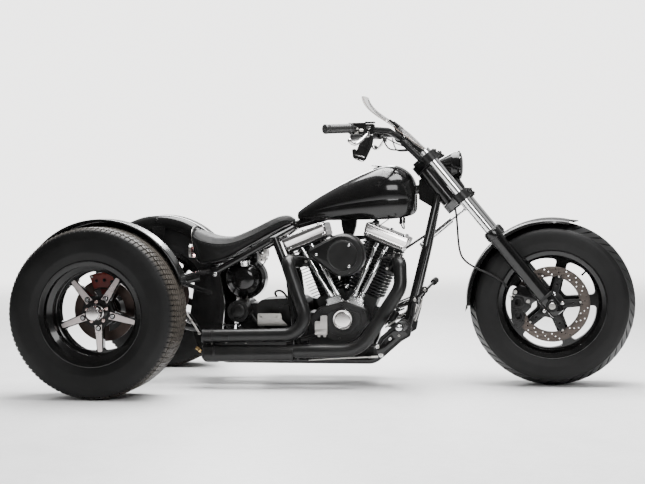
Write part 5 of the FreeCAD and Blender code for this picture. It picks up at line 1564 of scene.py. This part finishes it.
lug_bolts = [((773, -tube_spread + 21.5, 343), RIGHT, 7.5), ((722, -tube_spread + 21.5, 380), RIGHT, 8.0)]
fasten("caliper_lug_bolts", cap_head, lug_bolts, steel, "fork")

# ---- fork clamp bolts and seals ---------------------------------------------
clamp_bolts = []
lower_clamp_at, upper_clamp_at, slider_top, foot_band_at = 555, 754, 376, 40
seals = bmesh.new()
for side in (-1, 1):
    y = side * tube_spread
    for along in (lower_clamp_at, upper_clamp_at):
        for up in (-9, 9):
            clamp_bolts.append((on_fork(along + up, 33, y), fork_out, 5.5))
    seal = on_fork(slider_top, 0, y)
    add_lathe(seals,
              [(20.8, 6), (26, 6), (29.5, 3), (30.5, -2), (30.5, -8), (29.2, -10), (29.2, -16), (21, -16)],
              facing(seal, fork_up), 40, closed=True)
    add_lathe(seals, [(30.2, -4), (33.4, -2.5), (33.4, 6.5), (30.2, 8)],
              facing(on_fork(foot_band_at, 0, y), fork_up), 40, closed=True)
piece("fork_seals", seals, rubber, "fork")
fasten("fork_clamp_bolts", cap_head, clamp_bolts, satin_black, "fork")
fasten("hose_union_bolt", button_head, [((476, -67, 722), RIGHT, 8.0)], copper, "fork")

# ---- bars, risers, grips ----------------------------------------------------
bar_ends = [(Vector((98, side * 326, 1027)), Vector((16, side * 404, 1022))) for side in (1, -1)]
work = bmesh.new()
for inner, outer in bar_ends:
    way = (outer - inner).normalized()
    long = (outer - inner).length
    profile = [(14, -4), (20.5, -3), (21.5, 0), (21.5, 4), (18.6, 6)]
    for index in range(12):
        at = 9 + index * (long - 16) / 12
        profile += [(18.6, at), (18.0, at + 1.2), (18.0, at + 2.4), (18.6, at + 3.6)]
    profile += [(18.8, long), (19.5, long + 4), (18.5, long + 8), (14, long + 10), (13, long + 9),
                (6, long + 9), (5, long + 10.5), (0, long + 10.5)]
    add_lathe(work, profile, facing(inner, way), 36)
piece("grip_rubbers", work, grip_rubber, "fork", stands_for=["hand_grips"], smooth=30)
riser_bolts = []
for side in (-1, 1):
    for across in (-9, 9):
        riser_bolts.append((Vector((262 + 18, side * 62 + across, 1002)), (0.86, 0, 0.5), 5.5))
fasten("riser_bolts", cap_head, riser_bolts, chrome, "fork")

# ---- reservoir lid, levers, switches and control lines ----------------------
lid, lid_screws = bmesh.new(), []
add_box(lid, (152, -313, 1046), (190, -279, 1052), 1.8)
for a, b in ((158, -11), (184, -11), (158, 11), (184, 11)):
    lid_screws.append(((a, b - 296, 1052), UP, 2.8))
piece("reservoir_lid", lid, satin_black, "fork")
fasten("reservoir_screws", button_head, lid_screws, steel, "fork")
for side_name, side in SIDES:
    rows = [(160, side * 306, 1004), (150, side * 322, 990), (136, side * 338, 974), (122, side * 352, 964),
            (108, side * 366, 966), (101, side * 374, 976)]
    cable("lever_" + side_name, rows, 6.4, polished_aluminium, "fork", steps=4)
    work = bmesh.new()
    add_rod(work, (162, side * 302, 992), (162, side * 302, 1014), 9, 24, 1.5)
    add_lathe(work, [(0, -8), (5, -7.6), (8, -5), (8.8, 0), (8, 5), (5, 7.6), (0, 8)],
              Matrix.Translation((101, side * 374, 978)), 20)
    piece("lever_pivot_" + side_name, work, polished_aluminium, "fork")
work = bmesh.new()
add_rod(work, (147, -330, 1018), (133, -340, 1018), 5, 18, 1.2)
add_box(work, (112, -322, 1006), (128, -316.5, 1014), 1.0)
add_box(work, (112, -322, 1020), (128, -316.5, 1028), 1.0)
add_box(work, (112, 316.5, 1006), (128, 322, 1014), 1.0)
add_box(work, (112, 316.5, 1020), (128, 322, 1028), 1.0)
piece("switch_buttons", work, steel, "fork")
work = bmesh.new()
for low_x, high_x, foot_z, head_z in ((109, 147, 926, 913), (104, 141, 911, 898)):
    add_plate(work,
              [[Vector((low_x, foot_z)), Vector((high_x, head_z)), Vector((high_x + 1.2, head_z + 3)),
                Vector((low_x + 1.2, foot_z + 3))]], 33.4, side_view(-284), 0.5)
add_box(work, (146, -302, 1000), (182, -298, 1003), 0.6)
add_rod(work, (164, -300, 1030), (164, -303.5, 1030), 9, 22, 1)
blocks = bmesh.new()
add_plate(blocks, [rounded([(150, 1004, 4), (184, 1004, 8), (178, 962, 8), (150, 904, 8), (134, 898, 4)])],
          25, side_view(-284), 3)
add_plate(blocks, [rounded([(98, 946, 5), (114, 950, 6), (116, 912, 6), (102, 914, 4)])], 22,
          side_view(-284), 3)
add_rod(blocks, (186, -284, 958), (196, -284, 950), 6, 20, 1.5)
piece("control_block_body", blocks, satin_black, "fork")
piece("control_block_trim", work, polished_aluminium, "fork")
cable("clutch_cable", [(206, 196, 1004), (222, 120, 952), (262, 84, 946), (300, 54, 950)], 3.0, rubber,
      "fork")
cable("throttle_cable", [(206, -196, 1002), (214, -140, 956), (246, -96, 944), (300, -56, 950)], 3.0,
      rubber, "fork")
cable("switch_lead", [(222, -196, 992), (250, -150, 974), (276, -84, 964), (306, -40, 948)], 2.4, rubber,
      "fork")
for side_name, side in SIDES:
    edge = [(366, 96, 946), (314, 122, 984), (218, 130, 1058), (162, 128, 1096), (130, 120, 1131),
            (118, 96, 1166)]
    cable("screen_edge_" + side_name, [(x, side * (y + 0.4), min(z, 1162)) for x, y, z in edge], 1.3,
          screen_trim, "fork")


# ---- CAD nodes and their finishes ----------------------------------------
def clear_finish(name, tint, rough, ior, **fixed):
    """Moulded clear plastic or glass, faintly hazed by fine marks."""
    material, tree, shader = blank_finish(name, Transmission_Weight=1.0, IOR=ior, **fixed)
    marks = put_group(tree, surface_marks, {"Scale": 400.0})
    tree.links.new(mix_colour(tree, marks["Cloudy"], tint, (1, 1, 1, 1)), shader.inputs["Base Color"])
    hazed = sums(tree, "ADD", sums(tree, "MULTIPLY", marks["Scratches"], 0.06), rough)
    tree.links.new(hazed, shader.inputs["Roughness"])
    bump = add(tree, "ShaderNodeBump", {"Height": marks["Fine"], "Distance": 0.00002, "Strength": 0.3})
    tree.links.new(bump.outputs[0], shader.inputs["Normal"])
    return material


lamp_glass = clear_finish("lamp_glass", (0.96, 0.98, 1.0, 1), 0.02, 1.46)
screen_plastic = clear_finish("screen_plastic", (0.97, 0.95, 0.92, 1), 0.02, 1.08, Alpha=0.45)
lamp_red = clear_finish("red_lens", (0.75, 0.02, 0.02, 1), 0.08, 1.45)

node_finishes = (
    (gloss_black, "fuel_tank rear_fenders front_fender oil_tank headlight"),
    (frame_black, "frame_spine frame_cradle frame_rear_section"),
    (wheel_black, "front_rim"),
    (rear_wheel_black, "rear_rim_left rear_rim_right"),
    (satin_black, "handlebar upper_clamp lower_clamp transmission forward_controls bar_controls "
                  "intake front_axle"),
    (engine_black, "crankcase cam_cover rear_axle_housing primary_cover"),
    (exhaust_black, "exhausts"),
    (rubber, "brake_hose"),
    (cast_aluminium, "oil_pump"),
    (chrome, "fork_tubes rear_hub_left rear_hub_right damper_body damper_rod"),
    (steel, "transmission_bracket"),
    (caliper_red, "rear_brake_calipers"),
    (lamp_red, "tail_lamp"),
    (rear_disc_steel, "rear_brake_disc_left rear_brake_disc_right"),
    (lamp_glass, "headlight_lens"),
    (screen_plastic, "windshield"),
)
for node_finish, names in node_finishes:
    for node_name in names.split():
        held = nodes[node_name].data.materials
        held.clear()
        held.append(node_finish)


# ---- floor, light and camera ---------------------------------------------
def pale_floor():
    """A round pale floor whose rim thins out into the pale surroundings; towards the near side it is
    painted dark grey, a painted shade that dims what the gloss mirrors there.
    """
    work = bmesh.new()
    add_lathe(work, [(0, 0), (1500, 0), (4000, 0), (9000, 0)], Matrix.Translation((0, 0, -0.5)), 64)
    mesh = to_mesh("floor", work)
    material, tree, shader = blank_finish("pale_floor", Specular_IOR_Level=0.25)
    place = object_place(tree)
    from_middle = add(tree, "ShaderNodeVectorMath", {0: place}, operation="LENGTH").outputs["Value"]
    speckle = ramp(tree, noise(tree, place, 30.0, 4.0), 0.3, 0.7)
    # painted shade: the floor turns dark grey towards the near side, beyond y -2.2 m, so the gloss above
    # mirrors a dim floor there
    painted_shade_fade = ramp(tree, add(tree, "ShaderNodeSeparateXYZ", {0: place}).outputs[1], -2.9, -2.2, 0.1, 1.0)
    pale = mix_colour(tree, speckle, grey(0.74), grey(0.78))
    tree.links.new(mix_colour(tree, painted_shade_fade, grey(0.36), pale), shader.inputs["Base Color"])
    tree.links.new(ramp(tree, noise(tree, place, 8.0), 0.3, 0.7, 0.40, 0.50), shader.inputs["Roughness"])
    tree.links.new(ramp(tree, from_middle, 8.0, 2.6), shader.inputs["Alpha"])
    mesh.materials.append(material)
    put("floor", mesh)


def surroundings():
    """A white studio, bright overhead and dim on the near side, for the gloss to mirror."""
    world = bpy.data.worlds.new("white_studio")
    bpy.context.scene.world = world
    world.use_nodes = True
    tree = world.node_tree
    ground = tree.nodes["Background"]
    sky = add(tree, "ShaderNodeTexCoord").outputs["Generated"]
    way = add(tree, "ShaderNodeSeparateXYZ", {0: sky}).outputs
    behind = ramp(tree, way[1], -0.55, 0.35, 0.22, 1.0)
    wall = sums(tree, "MULTIPLY", ramp(tree, way[2], -0.05, 0.75, 0.42, 0.62), behind)
    seen = add(tree, "ShaderNodeLightPath").outputs["Is Camera Ray"]
    lit = mix_colour(tree, seen, add(tree, "ShaderNodeCombineXYZ", {0: wall, 1: wall, 2: wall}).outputs[0],
                     (3.6, 3.55, 3.5, 1))
    tree.links.new(lit, ground.inputs["Color"])
    ground.inputs["Strength"].default_value = 1.0


def soft_box(name, place, aim, width, tall, power):
    light = bpy.data.lights.new(name, "AREA")
    light.shape = "RECTANGLE"
    light.size = width
    light.size_y = tall
    light.energy = power
    made = put(name, light)
    made.location = place
    made.rotation_euler = (Vector(aim) - Vector(place)).to_track_quat("-Z", "Y").to_euler()


camera_place = (0.824, -5.707, 0.7865)
camera_yaw, camera_pitch, camera_roll = radians(8.87), radians(2.09), -0.0102
lens_length, film_width = 78.27, 36.0


def set_camera():
    """A long lens low at the right side, a little ahead of the middle."""
    yaw, pitch, roll = camera_yaw, camera_pitch, camera_roll
    forward = Vector((-sin(yaw) * cos(pitch), cos(yaw) * cos(pitch), -sin(pitch)))
    right = Vector((cos(yaw), sin(yaw), 0))
    upward = right.cross(forward)
    turned_right = right * cos(roll) + upward * sin(roll)
    turned_up = upward * cos(roll) - right * sin(roll)
    camera_data = bpy.data.cameras.new("camera")
    camera_data.lens = lens_length
    camera_data.sensor_width = film_width
    camera_data.clip_end = 100.0
    camera = put("camera", camera_data)
    turn = Matrix((turned_right, turned_up, -forward)).transposed().to_4x4()
    camera.matrix_world = Matrix.Translation(camera_place) @ turn
    bpy.context.scene.camera = camera


pale_floor()
surroundings()
for light_row in (
    ("overhead", (0.3, 0.2, 3.6), (0.1, 0, 0.4), 4.2, 2.2, 620),
    ("near_side", (1.8, -4.2, 2.6), (0.1, 0, 0.4), 2.4, 1.6, 130),
    ("far_side", (-1.2, 4.4, 2.8), (0, 0, 0.5), 2.6, 1.6, 240),
):
    soft_box(*light_row)
set_camera()
